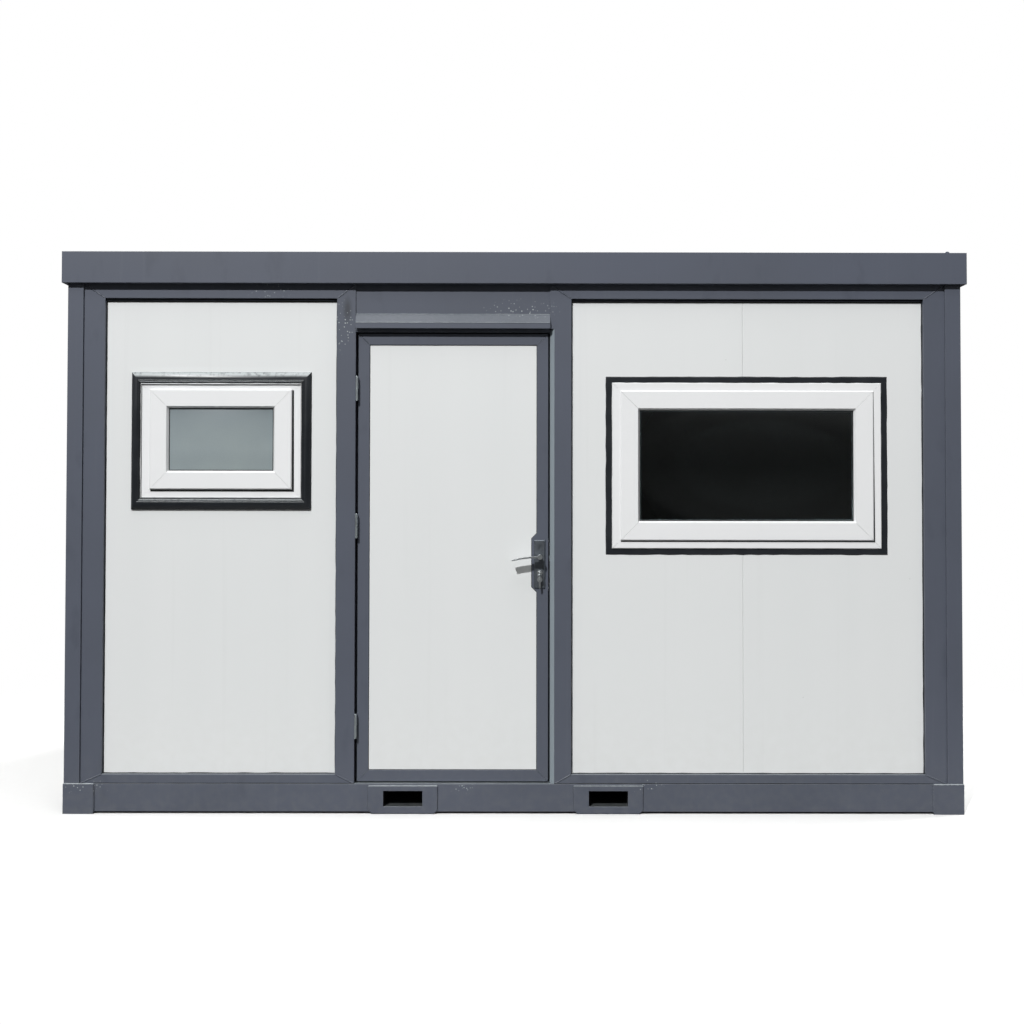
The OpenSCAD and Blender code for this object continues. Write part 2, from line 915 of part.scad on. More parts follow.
// Sash: a plate lapping the frame, and a body inside it, cut for the glass and its bead
module window_sash(x, z, w, h, lift, sash_w, sash_h, glass_w, glass_h, out) {
    inner = 2 * (frame_face + sash_clear);
    face_y = frame_y - out;
    translate([x, 0, z]) difference() {
        union() {
            translate([0, frame_y, lift])
                bevelled_slab(sash_w, sash_h, out, sash_bevel, sash_bevel);
            upright(frame_y, sash_depth) centred_rect(w - inner, h - inner);
        }
        translate([0, 0, lift]) {
            upright(face_y - slack, out + sash_depth + 2 * slack) centred_rect(glass_w, glass_h);
            translate([0, face_y + glass_recess, 0]) rotate([90, 0, 0])
                linear_extrude(glass_recess, slices = 1,
                               scale = [(glass_w + 2 * bead_slope) / glass_w,
                                        (glass_h + 2 * bead_slope) / glass_h])
                    centred_rect(glass_w, glass_h);
        }
    }
}

module window_glass(x, z, glass_w, glass_h, out) {
    translate([x, 0, z]) upright(frame_y - out + glass_recess, glass_t)
        centred_rect(glass_w, glass_h);
}

module small_frame() {
    color(upvc) window_frame(small_x, small_z, small_w, small_h);
}

module small_sash() {
    color(upvc) window_sash(small_x, small_z, small_w, small_h, small_sash_lift,
                            small_sash_w, small_sash_h, small_glass_w, small_glass_h,
                            small_sash_out);
}

module small_glass() {
    color("#8f9b9e") window_glass(small_x, small_z + small_sash_lift, small_glass_w,
                                  small_glass_h, small_sash_out);
}

// Raised trim with a wide bevel round the small window
module small_trim() {
    w = small_w + 2 * small_trim_w;
    h = small_h + 2 * small_trim_h;
    color("#3f434a") translate([small_x, panel_y, small_z]) difference() {
        bevelled_slab(w, h, small_trim_out, small_trim_bevel, small_trim_out - small_trim_edge);
        upright(-small_trim_out - slack, small_trim_out + 2 * slack)
            centred_rect(small_w, small_h);
    }
}

module large_frame() {
    color(upvc) window_frame(large_x, large_z, large_w, large_h);
}

module large_sash() {
    color(upvc) window_sash(large_x, large_z, large_w, large_h, 0, large_sash_w,
                            large_sash_h, large_glass_w, large_glass_h, large_sash_out);
}

module large_glass() {
    color("#212324") window_glass(large_x, large_z, large_glass_w, large_glass_h,
                                  large_sash_out);
}

module flat_trim(x, z, w, h, trim_w, y) {
    translate([x, 0, z]) upright(y, flat_trim_t)
        ring(w + 2 * trim_w, h + 2 * trim_w, trim_w, trim_w);
}

module large_trim() {
    color("#43474f") flat_trim(large_x, large_z, large_w, large_h, large_trim_w,
                               panel_y - flat_trim_t);
}

module inner_window_trims() {
    color(panel_white) {
        flat_trim(small_x, small_z, small_w, small_h, inner_trim_w, -room_y);
        flat_trim(large_x, large_z, large_w, large_h, inner_trim_w, -room_y);
    }
}

// Handles inside, each on the sash's lower rail
module window_handle(x, z) {
    grip_y = handle_base_t + handle_neck;
    translate([x, frame_y + sash_depth, z]) {
        block([-handle_base_w / 2, 0, -handle_base_h / 2],
              [handle_base_w / 2, handle_base_t, handle_base_h / 2]);
        rotate([-90, 0, 0]) cylinder(h = grip_y + handle_grip_t, d = handle_neck_d);
        block([-handle_neck_d / 2, grip_y, -handle_grip_h / 2],
              [handle_len, grip_y + handle_grip_t, handle_grip_h / 2]);
    }
}

module window_handles() {
    edge = 1;
    rail = frame_face + sash_clear + edge + handle_base_h / 2;
    color(upvc) {
        window_handle(small_x, small_z - small_h / 2 + rail);
        window_handle(large_x, large_z - large_h / 2 + rail);
    }
}

// ---- Door leaf ----
// Opening in the leaf's frame for the infill, with the lock box's cut corners
module infill_shape() {
    x0 = leaf_left_x + stile_w;
    x1 = leaf_right_x - stile_w;
    low = leaf_bottom + stile_w;
    high = leaf_top - stile_w;
    mid = lever_z - lock_box_drop;
    half = lock_box_h / 2;
    box_x = x1 - lock_box_reach;
    polygon([[x0, low], [x1, low], [x1, mid - half], [box_x, mid - half + lock_box_reach],
             [box_x, mid + half - lock_box_reach], [x1, mid + half], [x1, high], [x0, high]]);
}

module lock_shape(extra) {
    circle(d = lock_d + 2 * extra);
    translate([-lock_tail_w / 2 - extra, -lock_tail_h - extra])
        square([lock_tail_w + 2 * extra, lock_tail_h + extra]);
}

// Holes for the lever and the lock, through everything from y0 to y1
module handle_holes(y0, y1, lever_d) {
    translate([lever_x, y1, lever_z]) rotate([90, 0, 0]) cylinder(h = y1 - y0, d = lever_d);
    translate([lever_x, 0, lock_z]) upright(y0, y1 - y0) lock_shape(neck_clear);
}

module leaf_frame() {
    color(paint) difference() {
        block([leaf_left_x, leaf_y, leaf_bottom], [leaf_right_x, leaf_back_y, leaf_top]);
        upright(leaf_y - slack, leaf_t + 2 * slack) infill_shape();
        handle_holes(leaf_y - slack, leaf_back_y + slack, spindle_bore_d);
    }
}

module leaf_infill() {
    color(panel_white) upright(leaf_y + infill_recess, leaf_t - 2 * infill_recess)
        infill_shape();
}

// ---- Hinges ----
// Lower halves with the pins, on the jamb
module frame_hinges() {
    half = (barrel_len - knuckle_gap) / 2;
    color("#9aa0a3") for (z = hinge_heights) translate([0, 0, z - barrel_len / 2]) {
        translate([pin_x, pin_y, 0]) {
            cylinder(h = half, d = barrel_d);
            cylinder(h = barrel_len - flag_t, d = pin_d);
        }
        block([opening_left_x, pin_y, 0], [opening_left_x + flag_t, leaf_y + flag_reach, half]);
    }
}

// Upper halves on the leaf, each with a blind bore for its pin
module leaf_hinges() {
    half = (barrel_len - knuckle_gap) / 2;
    color("#9aa0a3") for (z = hinge_heights) translate([0, 0, z + knuckle_gap / 2])
        difference() {
            union() {
                translate([pin_x, pin_y, 0]) cylinder(h = half, d = barrel_d);
                block([leaf_left_x - flag_t, pin_y, 0],
                      [leaf_left_x, leaf_y + flag_reach, half]);
            }
            translate([pin_x, pin_y, -slack])
                cylinder(h = half - flag_t + slack + knuckle_gap,
                         d = pin_d + 2 * pin_clear);
        }
}

// ---- Handle and lock ----
module handle_plate() {
    h = plate_above + plate_below;
    translate([lever_x, 0, lever_z + (plate_above - plate_below) / 2])
        bevelled_slab(plate_w, h, plate_t, plate_bevel, plate_bevel);
}

module handle_plates() {
    color("#6d7279") difference() {
        union() {
            translate([0, leaf_y, 0]) handle_plate();
            translate([0, leaf_back_y, 0]) mirror([0, 1, 0]) handle_plate();
        }
        handle_holes(plate_y - slack, plate_back_y + slack, neck_d + 2 * neck_clear);
    }
}

// Lock cylinder through the leaf, with a round rose and a keyway on each side
module lock_cylinder() {
    out_y = plate_y - lock_out;
    in_y = plate_back_y + lock_out;
    color("#8e959a") difference() {
        translate([lever_x, 0, lock_z]) {
            upright(out_y, in_y - out_y) lock_shape(0);
            upright(plate_y - rose_t, rose_t) circle(d = rose_d);
            upright(plate_back_y, rose_t) circle(d = rose_d);
        }
        for (y = [out_y, in_y - keyway_depth])
            translate([lever_x, 0, lock_z]) upright(y, keyway_depth)
                centred_rect(key_t + 2 * keyway_clear, keyway_h);
    }
}

// One key in the lock, and a second hanging from it on a ring
module door_keys() {
    face_y = plate_y - lock_out;
    head_y = face_y - key_out - key_head_d / 2;
    shank_w = 8;
    hole_d = 5;
    hole_drop = 5;
    ring_r = 9;
    wire_d = 2;
    rest_gap = 0.2;
    // the ring hangs on the lower edge of the first key's hole
    ring_z = lock_z - hole_drop - hole_d / 2 + wire_d / 2 + rest_gap - ring_r;
    key2_z = ring_z - ring_r - hole_drop;
    key2_shank = 28;
    color("#b9bdbf") translate([lever_x, head_y, 0]) {
        // key in the lock, edge on to the front
        translate([-key_t / 2, 0, lock_z]) rotate([90, 0, 90]) linear_extrude(key_t)
            difference() {
                union() {
                    circle(d = key_head_d);
                    translate([0, -shank_w / 2]) square([face_y - head_y, shank_w]);
                }
                translate([0, -hole_drop]) circle(d = hole_d);
            }
        // ring through its head
        translate([0, 0, ring_z]) rotate([90, 0, 0]) rotate_extrude()
            translate([ring_r, 0]) circle(d = wire_d, $fn = 16);
        // second key, facing the front
        upright(-key_t / 2, key_t) difference() {
            union() {
                translate([0, key2_z]) circle(d = key_head_d);
                translate([-shank_w / 2, key2_z - key_head_d / 2 - key2_shank + slack])
                    square([shank_w, key2_shank]);
            }
            translate([0, key2_z + hole_drop]) circle(d = hole_d);
        }
    }
}

// Side view of the blade: it thins and drops in a smooth curve from its root to its tip
function blade_point(u, side) =
    [-lever_len * u, side * blade_t / 2 * (1 - blade_taper * u) - lever_drop * u * u];

module blade_shape() {
    steps = 14;
    polygon([for (i = [0 : steps]) blade_point(i / steps, 1),
             for (i = [steps : -1 : 0]) blade_point(i / steps, -1)]);
}

module blade_and_root(y) {
    translate([lever_x, 0, lever_z]) upright(y - blade_depth / 2, blade_depth) {
        blade_shape();
        circle(d = root_d);
    }
}

module neck(y0, y1) {
    translate([lever_x, y1, lever_z]) rotate([90, 0, 0]) cylinder(h = y1 - y0, d = neck_d);
}

// Outside lever with the spindle through the leaf
module outer_lever() {
    w = spindle_w / 2;
    color("#c3c7c9") {
        blade_and_root(blade_y);
        neck(blade_y, leaf_y);
        block([lever_x - w, leaf_y, lever_z - w], [lever_x + w, leaf_back_y, lever_z + w]);
    }
}

module inner_lever() {
    color("#c3c7c9") {
        blade_and_root(inner_blade_y);
        neck(leaf_back_y, inner_blade_y);
    }
}

corner_blocks();
long_base_rails();
side_base_rails();
fork_tubes();
fork_plates();
floor_joists();
floor_deck();
floor_covering();
corner_posts();
roof_frame();
long_fascias();
side_fascias();
roof_sheet();
ceiling_panel();
roof_lug();
front_panel_left();
front_panels_right();
side_panels();
back_panels();
door_transom();
hinge_jamb();
lock_jamb();
door_stop();
threshold();
drip_cap();
upright_trims();
level_trims();
frame_hinges();
small_frame();
small_sash();
small_glass();
small_trim();
large_frame();
large_sash();
large_glass();
large_trim();
inner_window_trims();
window_handles();
leaf_frame();
leaf_infill();
leaf_hinges();
handle_plates();
lock_cylinder();
door_keys();
outer_lever();
inner_lever();
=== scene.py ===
import json
import math
import random

import bmesh
import bpy
from mathutils import Matrix, Vector


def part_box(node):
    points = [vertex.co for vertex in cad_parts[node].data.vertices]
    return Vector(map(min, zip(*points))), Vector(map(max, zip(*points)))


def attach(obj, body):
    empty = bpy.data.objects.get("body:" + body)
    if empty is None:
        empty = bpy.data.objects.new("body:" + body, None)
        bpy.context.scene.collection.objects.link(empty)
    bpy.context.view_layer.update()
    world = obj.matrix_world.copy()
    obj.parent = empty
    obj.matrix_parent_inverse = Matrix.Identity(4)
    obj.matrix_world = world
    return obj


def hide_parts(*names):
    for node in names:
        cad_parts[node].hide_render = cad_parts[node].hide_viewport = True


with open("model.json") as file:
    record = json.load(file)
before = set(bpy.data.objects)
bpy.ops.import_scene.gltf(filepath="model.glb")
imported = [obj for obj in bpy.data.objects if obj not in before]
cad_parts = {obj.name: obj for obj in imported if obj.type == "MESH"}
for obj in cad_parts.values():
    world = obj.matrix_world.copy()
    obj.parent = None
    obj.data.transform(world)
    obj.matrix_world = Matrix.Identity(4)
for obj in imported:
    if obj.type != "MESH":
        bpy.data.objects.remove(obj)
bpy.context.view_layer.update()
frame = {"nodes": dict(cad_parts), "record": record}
nodes = frame["nodes"]
mm = 0.001
print("frame loaded:", len(nodes), "nodes")


# small tools
def linearRgb(hexText):  # every colour comes in as sRGB hex and leaves as linear
    channels = [int(hexText[i:i + 2], 16) / 255 for i in (1, 3, 5)]
    return [c / 12.92 if c <= 0.04045 else ((c + 0.055) / 1.055) ** 2.4 for c in channels] + [1.0]


def perMetre(sizeMm):  # texture scale whose features are about this many millimetres across
    return 1000 / sizeMm


def addNode(tree, kind, inputs=None, out=0, **settings):
    # inputs take a value or another node's socket; out picks the output given back, None the node
    node = tree.nodes.new("ShaderNode" + kind)
    for key, value in settings.items():
        setattr(node, key, value)
    for key, value in (inputs or {}).items():
        if isinstance(value, bpy.types.NodeSocket):
            tree.links.new(value, node.inputs[key])
        else:
            node.inputs[key].default_value = value
    return node if out is None else node.outputs[out]


def newMaterial(name, **fixed):  # fixed are constant values on the shader's own sockets
    material = bpy.data.materials.new(name)
    material.use_nodes = True
    tree = material.node_tree
    shader = tree.nodes["Principled BSDF"]
    for key, value in fixed.items():
        shader.inputs[key].default_value = value
    coords = addNode(tree, "TexCoord", out="Object")
    return material, tree, shader, coords


def patches(tree, coords, sizeMm, low, high, stretch=(1, 1, 1), detail=3, within=None):
    # soft patches, 0 to 1, which may be kept within another mask
    scaled = addNode(tree, "Mapping", {"Vector": coords, "Scale": stretch})
    cloud = addNode(tree, "TexNoise",
                    {"Vector": scaled, "Scale": perMetre(sizeMm), "Detail": detail})
    mask = addNode(tree, "MapRange", {"Value": cloud, "From Min": low, "From Max": high})
    if within is None:
        return mask
    return addNode(tree, "Math", {0: within, 1: mask}, operation="MULTIPLY")


def flecks(tree, coords, spacingMm, sizeMm, share):  # scattered round spots, 0 or 1
    cells = addNode(tree, "TexVoronoi", {"Vector": coords, "Scale": perMetre(spacingMm)}, out=None)
    radius = sizeMm / 2 / spacingMm
    spot = addNode(tree, "MapRange", {"Value": cells.outputs["Distance"], "From Min": radius,
                                      "From Max": radius * 0.6})
    pick = addNode(tree, "SeparateColor", {"Color": cells.outputs["Color"]})
    chosen = addNode(tree, "Math", {0: pick, 1: 1 - share}, operation="GREATER_THAN")
    return addNode(tree, "Math", {0: spot, 1: chosen}, operation="MULTIPLY")


def tint(tree, mask, strength, under, overHex):  # a colour shows on another by mask times strength
    amount = addNode(tree, "Math", {0: mask, 1: strength}, operation="MULTIPLY")
    base = linearRgb(under) if isinstance(under, str) else under
    return addNode(tree, "Mix", {0: amount, 6: base, 7: linearRgb(overHex)},
                   data_type="RGBA", out=2)


def blend(tree, mask, strength, under, over):  # the same for plain numbers
    amount = addNode(tree, "Math", {0: mask, 1: strength}, operation="MULTIPLY")
    return addNode(tree, "Mix", {0: amount, 2: under, 3: over}, data_type="FLOAT")


def relief(tree, shader, height, depthMm, strength=1.0, after=None):  # bump of a real depth
    inputs = {"Height": height, "Distance": depthMm * mm, "Strength": strength}
    if after is not None:
        inputs["Normal"] = after
    bump = addNode(tree, "Bump", inputs)
    tree.links.new(bump, shader.inputs["Normal"])
    return bump


def bumps(tree, shader, coords, sizeMm, depthMm, strength, detail=1, after=None):  # soft noise
    noise = addNode(tree, "TexNoise",
                    {"Vector": coords, "Scale": perMetre(sizeMm), "Detail": detail})
    return relief(tree, shader, noise, depthMm, strength, after)


def surface(tree, shader, colour, rough, mask=None):
    # the colour, and a roughness: one value, a socket, or two values that a mask runs between
    if mask is not None:
        ends = {"Value": mask, "To Min": rough[0], "To Max": rough[1]}
        rough = addNode(tree, "MapRange", ends)
    tree.links.new(colour, shader.inputs["Base Color"])
    if isinstance(rough, bpy.types.NodeSocket):
        tree.links.new(rough, shader.inputs["Roughness"])
    else:
        shader.inputs["Roughness"].default_value = rough


def rolledEdge(tree, radiusMm):  # normals that roll over each edge, and a mask of the edges
    rounded = addNode(tree, "Bevel", {"Radius": radiusMm * mm}, samples=6)
    flat = addNode(tree, "NewGeometry", out="Normal")
    match = addNode(tree, "VectorMath", {0: rounded, 1: flat}, operation="DOT_PRODUCT", out="Value")
    mask = addNode(tree, "MapRange", {"Value": match, "From Min": 0.97, "From Max": 0.75})
    return rounded, mask


def facingMask(tree, axis, low, high):  # faces that look along an axis: up, where dust settles and painted light is laid, and left, for a painted highlight
    normal = addNode(tree, "NewGeometry", out="Normal")
    along = addNode(tree, "SeparateXYZ", {"Vector": normal}, out=axis)
    return addNode(tree, "MapRange", {"Value": along, "From Min": low, "From Max": high})


def heightMask(tree, coords, full, none):  # 1 at the height full, 0 at the height none, in metres
    z = addNode(tree, "SeparateXYZ", {"Vector": coords}, out="Z")
    return addNode(tree, "MapRange", {"Value": z, "From Min": none, "From Max": full})


def spotMask(tree, coords, place, size):  # a soft-edged patch round one place, in metres
    apart = addNode(tree, "VectorMath", {0: coords, 1: place}, operation="SUBTRACT")
    scaled = addNode(tree, "VectorMath", {0: apart, 1: size}, operation="DIVIDE")
    distance = addNode(tree, "VectorMath", {0: scaled}, operation="LENGTH", out="Value")
    return addNode(tree, "MapRange", {"Value": distance, "From Min": 1.0, "From Max": 0.25})


# materials
def powderCoat(name, paintHex, darkHex, dustShare, ledgeDustAndPaintedLightShare=0.35, ledgeDustAndPaintedLightHex="#adb5b6", paintedLeftHighlight=0):
    # satin powder coat on rolled steel: soft sheen, fine orange peel, pale dust, small chips, and
    # painted light on upward and left-leaning faces
    coat = {"cloudMm": 520, "smudgeMm": 90, "streakMm": 26, "dustMm": 30, "ledgeMm": 14,
            "speckGapMm": 12, "speckMm": 6.5, "rubbedMm": 60, "edgeMm": 3, "wavesMm": 380,
            "peelMm": 5, "oilHex": "#33363b", "streakHex": "#8b9093", "dustHex": "#83847f", 
            "chipHex": "#b4bcbd", "rubbedHex": "#9aa1a6", "paintedLeftHighlightHex": "#8f9aa0",
            "dustRoughness": 0.8}
    oilSpot = ((-0.748, -1.188, 2.245), (0.024, 0.06, 0.07))  # place and half size in metres
    chippedSpots = [
        ((-1.1, -1.188, 2.33), (0.12, 0.1, 0.04)), ((-0.77, -1.188, 2.17), (0.07, 0.1, 0.13)),
        ((0.03, -1.188, 2.25), (0.2, 0.1, 0.05)), ((-0.23, -1.198, 0.12), (0.06, 0.05, 0.04)),
        ((0.6, -1.198, 0.12), (0.08, 0.05, 0.04)), ((-1.9, -1.2, 0.12), (0.12, 0.05, 0.04))]
    material, tree, shader, coords = newMaterial(name, Metallic=0.0, IOR=1.5)
    wide = patches(tree, coords, coat["cloudMm"], 0.35, 0.7)
    colour = tint(tree, wide, 0.55, paintHex, darkHex)
    smudge = patches(tree, coords, coat["smudgeMm"], 0.6, 0.72, (1, 1, 0.45))
    colour = tint(tree, smudge, 0.4, colour, darkHex)
    colour = tint(tree, spotMask(tree, coords, *oilSpot), 0.75, colour, coat["oilHex"])
    streak = patches(tree, coords, coat["streakMm"], 0.6, 0.85, (1, 1, 0.03))
    colour = tint(tree, streak, 0.06, colour, coat["streakHex"])
    low = heightMask(tree, coords, 0.0, 0.3)
    lowDust = patches(tree, coords, coat["dustMm"], 0.4, 0.8, within=low)
    colour = tint(tree, lowDust, dustShare, colour, coat["dustHex"])
    # upward faces: pale dust that also brightens lit ledges and edges as a painted highlight; given
    # a dark colour, as on the drip cap's slope, it is a painted shade
    ledge = patches(tree, coords, coat["ledgeMm"], 0.0, 0.6, within=facingMask(tree, "Z", 0.3, 0.7))
    colour = tint(tree, ledge, ledgeDustAndPaintedLightShare, colour, ledgeDustAndPaintedLightHex)
    # specks are 1 to 2 mm across, drawn at 6.5 mm so that they show
    specks = flecks(tree, coords, coat["speckGapMm"], coat["speckMm"], 0.65)
    for place, size in chippedSpots:
        chip = addNode(tree, "Math", {0: specks, 1: spotMask(tree, coords, place, size)},
                       operation="MULTIPLY")
        colour = tint(tree, chip, 0.95, colour, coat["chipHex"])
    rounded, edges = rolledEdge(tree, coat["edgeMm"])
    rubbed = patches(tree, coords, coat["rubbedMm"], 0.3, 0.7, within=edges)
    colour = tint(tree, rubbed, 0.45, colour, coat["rubbedHex"])
    if paintedLeftHighlight:  # painted highlight: a face that leans left is tinted pale, as on the jamb's bevel
        left = facingMask(tree, "X", -0.15, -0.4)
        colour = tint(tree, left, paintedLeftHighlight, colour, coat["paintedLeftHighlightHex"])
    sheen = addNode(tree, "MapRange", {"Value": wide, "To Min": 0.38, "To Max": 0.5})
    surface(tree, shader, colour, blend(tree, lowDust, 0.6, sheen, coat["dustRoughness"]))
    soft = bumps(tree, shader, coords, coat["wavesMm"], 1.6, 0.35, after=rounded)
    # orange peel is about 2 mm across, drawn at 5 mm so that it shows
    bumps(tree, shader, coords, coat["peelMm"], 0.06, 0.5, after=soft)
    return material


def coilCoatedPanel():
    # white polyester coil coating on thin steel: even, slightly waxy, faint roll lines and waves
    coat = {"whiteHex": "#e3e5e5", "rollLineMm": 170, "cloudMm": 800, "splashMm": 45, "dripMm": 34,
            "markGapMm": 120, "markMm": 7, "canningMm": 620, "grainMm": 4}
    material, tree, shader, coords = newMaterial("coilCoatedPanel", Metallic=0.0, IOR=1.5)
    rollLines = patches(tree, coords, coat["rollLineMm"], 0.35, 0.65, (1, 1, 0.02), 1)
    colour = tint(tree, rollLines, 0.15, coat["whiteHex"], "#dcdfdf")
    cloudy = patches(tree, coords, coat["cloudMm"], 0.35, 0.7)
    colour = tint(tree, cloudy, 0.2, colour, "#d8dcdc")
    splash = patches(tree, coords, coat["splashMm"], 0.35, 0.8,
                     within=heightMask(tree, coords, 0.15, 0.6))
    colour = tint(tree, splash, 0.09, colour, "#b9b6ac")
    drip = patches(tree, coords, coat["dripMm"], 0.62, 0.85, (1, 1, 0.02))
    colour = tint(tree, drip, 0.07, colour, "#b3b5b2")
    marks = flecks(tree, coords, coat["markGapMm"], coat["markMm"], 0.25)
    colour = tint(tree, marks, 0.3, colour, "#aeb0ac")
    surface(tree, shader, colour, (0.34, 0.46), cloudy)
    soft = bumps(tree, shader, coords, coat["canningMm"], 3.0, 0.3, 0)
    bumps(tree, shader, coords, coat["grainMm"], 0.03, 0.5, 2, soft)  # 1 mm grain, drawn at 4 mm
    return material


def extrudedUpvc():
    # extruded white PVC: bright, smooth and glossy, with long faint die lines
    material, tree, shader, coords = newMaterial("extrudedUpvc", Metallic=0.0, IOR=1.53)
    shader.inputs["Subsurface Weight"].default_value = 0.04
    shader.inputs["Subsurface Radius"].default_value = (0.002, 0.002, 0.002)
    film = patches(tree, coords, 240, 0.2, 0.9)
    colour = tint(tree, film, 0.5, "#edeeef", "#e6e8e8")
    colour = tint(tree, flecks(tree, coords, 60, 5, 0.2), 0.35, colour, "#b5b5ae")
    surface(tree, shader, colour, (0.27, 0.31), film)
    bumps(tree, shader, coords, 60, 0.12, 0.3, after=rolledEdge(tree, 1.5)[0])
    return material


def paintedTrim():
    # lacquered moulding: near-black grey, smooth with a low gloss and dull dusty patches, and a
    # pale painted highlight on its upward slopes
    material, tree, shader, coords = newMaterial("paintedTrim", Metallic=0.0, IOR=1.5)
    dull = patches(tree, coords, 120, 0.2, 0.8)
    colour = tint(tree, dull, 0.6, "#1d2024", "#262a2f")
    # painted highlight: upward slopes tinted pale in patches
    ledge = patches(tree, coords, 18, 0.1, 0.5, within=facingMask(tree, "Z", 0.2, 0.45))
    colour = tint(tree, ledge, 0.85, colour, "#b9c0c1")
    colour = tint(tree, flecks(tree, coords, 40, 4, 0.2), 0.5, colour, "#8b9193")
    surface(tree, shader, colour, (0.26, 0.45), dull)
    bumps(tree, shader, coords, 45, 0.3, 0.5, after=rolledEdge(tree, 1.2)[0])
    return material


def galvanisedSheet():
    # hot-dip zinc: a patchwork of crystals, each with its own dull shine
    material, tree, shader, coords = newMaterial("galvanisedSheet", Metallic=1.0)
    spangle = addNode(tree, "TexVoronoi", {"Vector": coords, "Scale": perMetre(16)}, out="Color")
    tone = addNode(tree, "SeparateColor", {"Color": spangle})
    colour = tint(tree, tone, 0.5, "#a5acb0", "#8b9297")
    whiteRust = patches(tree, coords, 140, 0.5, 0.75)
    colour = tint(tree, whiteRust, 0.18, colour, "#c9cbc8")
    dullness = addNode(tree, "MapRange", {"Value": tone, "To Min": 0.5, "To Max": 0.66})
    surface(tree, shader, colour, blend(tree, whiteRust, 0.3, dullness, 0.7))
    relief(tree, shader, tone, 0.04, 0.4)
    return material


def particleBoard():
    # pressed wood chips: warm straw flakes of many tones, about 8 mm long and drawn at 22 mm
    material, tree, shader, coords = newMaterial("particleBoard", Metallic=0.0, IOR=1.5)
    flake = addNode(tree, "TexVoronoi", {"Vector": coords, "Scale": perMetre(22)}, out="Color")
    tone = addNode(tree, "SeparateColor", {"Color": flake}, out=1)
    surface(tree, shader, tint(tree, tone, 0.8, "#b4976a", "#8c7048"), 0.75)
    relief(tree, shader, tone, 0.5, 0.5)
    return material


def sheetVinyl():
    # printed grey floor vinyl: worn to a soft sheen, with speckles of 3 mm drawn at 9 mm
    material, tree, shader, coords = newMaterial("sheetVinyl", Metallic=0.0, IOR=1.5)
    speck = addNode(tree, "TexVoronoi", {"Vector": coords, "Scale": perMetre(9)}, out="Color")
    tone = addNode(tree, "SeparateColor", {"Color": speck})
    walked = patches(tree, coords, 500, 0.4, 0.7)
    colour = tint(tree, walked, 0.3, tint(tree, tone, 0.6, "#8f9191", "#7c7f80"), "#a39f96")
    surface(tree, shader, colour, (0.35, 0.55), walked)
    relief(tree, shader, tone, 0.08, 0.4)
    return material


def frostedGlass():
    # obscured glazing: a milky grey-green pane with a fine stipple that scatters what is behind it
    material, tree, shader, coords = newMaterial("frostedGlass", Metallic=0.0, IOR=1.52)
    shader.inputs["Transmission Weight"].default_value = 0.25
    cloud = patches(tree, coords, 220, 0.35, 0.7)
    colour = tint(tree, cloud, 0.7, "#a6b2b6", "#b5c1c0")
    # painted shade: darker towards the top
    colour = tint(tree, heightMask(tree, coords, 1.83, 1.62), 0.85, colour, "#747f86")
    # the stipple is about 2 mm across, drawn at 6 mm
    grit = addNode(tree, "TexNoise", {"Vector": coords, "Scale": perMetre(6), "Detail": 2})
    surface(tree, shader, tint(tree, grit, 0.25, colour, "#828d91"), 0.32)
    relief(tree, shader, grit, 0.4, 0.6)
    return material


def floatGlass():
    # clear float glass: faint green, mirror smooth, with a barely visible film of dust
    material, tree, shader, coords = newMaterial("floatGlass", Metallic=0.0, IOR=1.52)
    shader.inputs["Transmission Weight"].default_value = 1.0
    film = patches(tree, coords, 260, 0.45, 0.8)
    surface(tree, shader, tint(tree, film, 0.3, "#d3dadb", "#c7cfcf"), (0.0, 0.03), film)
    return material


def platedMetal(name, brightHex, dullHex, roughLow, roughHigh):
    # plated metal: grey and bright where hands and pins rub it, cloudy elsewhere
    material, tree, shader, coords = newMaterial(name, Metallic=1.0)
    cloud = patches(tree, coords, 18, 0.3, 0.8)
    surface(tree, shader, tint(tree, cloud, 0.5, brightHex, dullHex), (roughLow, roughHigh), cloud)
    brushed = addNode(tree, "Mapping", {"Vector": coords, "Scale": (1, 1, 0.1)})
    # brushed lines are about 0.2 mm apart, drawn at 1.2 mm
    bumps(tree, shader, brushed, 1.2, 0.01, 0.3, 2, rolledEdge(tree, 0.8)[0])
    return material


def mouldedRubber():
    # extruded EPDM: matt black, faintly grey where it has bloomed
    material, tree, shader, coords = newMaterial("mouldedRubber", Metallic=0.0, IOR=1.52)
    bloom = patches(tree, coords, 40, 0.45, 0.75)
    surface(tree, shader, tint(tree, bloom, 0.5, "#17181a", "#2c2e30"), 0.65)
    bumps(tree, shader, coords, 3, 0.05, 0.5, 2)  # a grain of 1 mm, drawn at 3 mm
    return material


def gunnedSealant(name, freshHex, dirtyHex):
    # tooled silicone: soft satin bead that has picked up dirt
    material, tree, shader, coords = newMaterial(name, Metallic=0.0, IOR=1.4)
    dirt = patches(tree, coords, 35, 0.4, 0.75)
    surface(tree, shader, tint(tree, dirt, 0.7, freshHex, dirtyHex), 0.4)
    bumps(tree, shader, coords, 12, 0.4, 0.5)
    return material


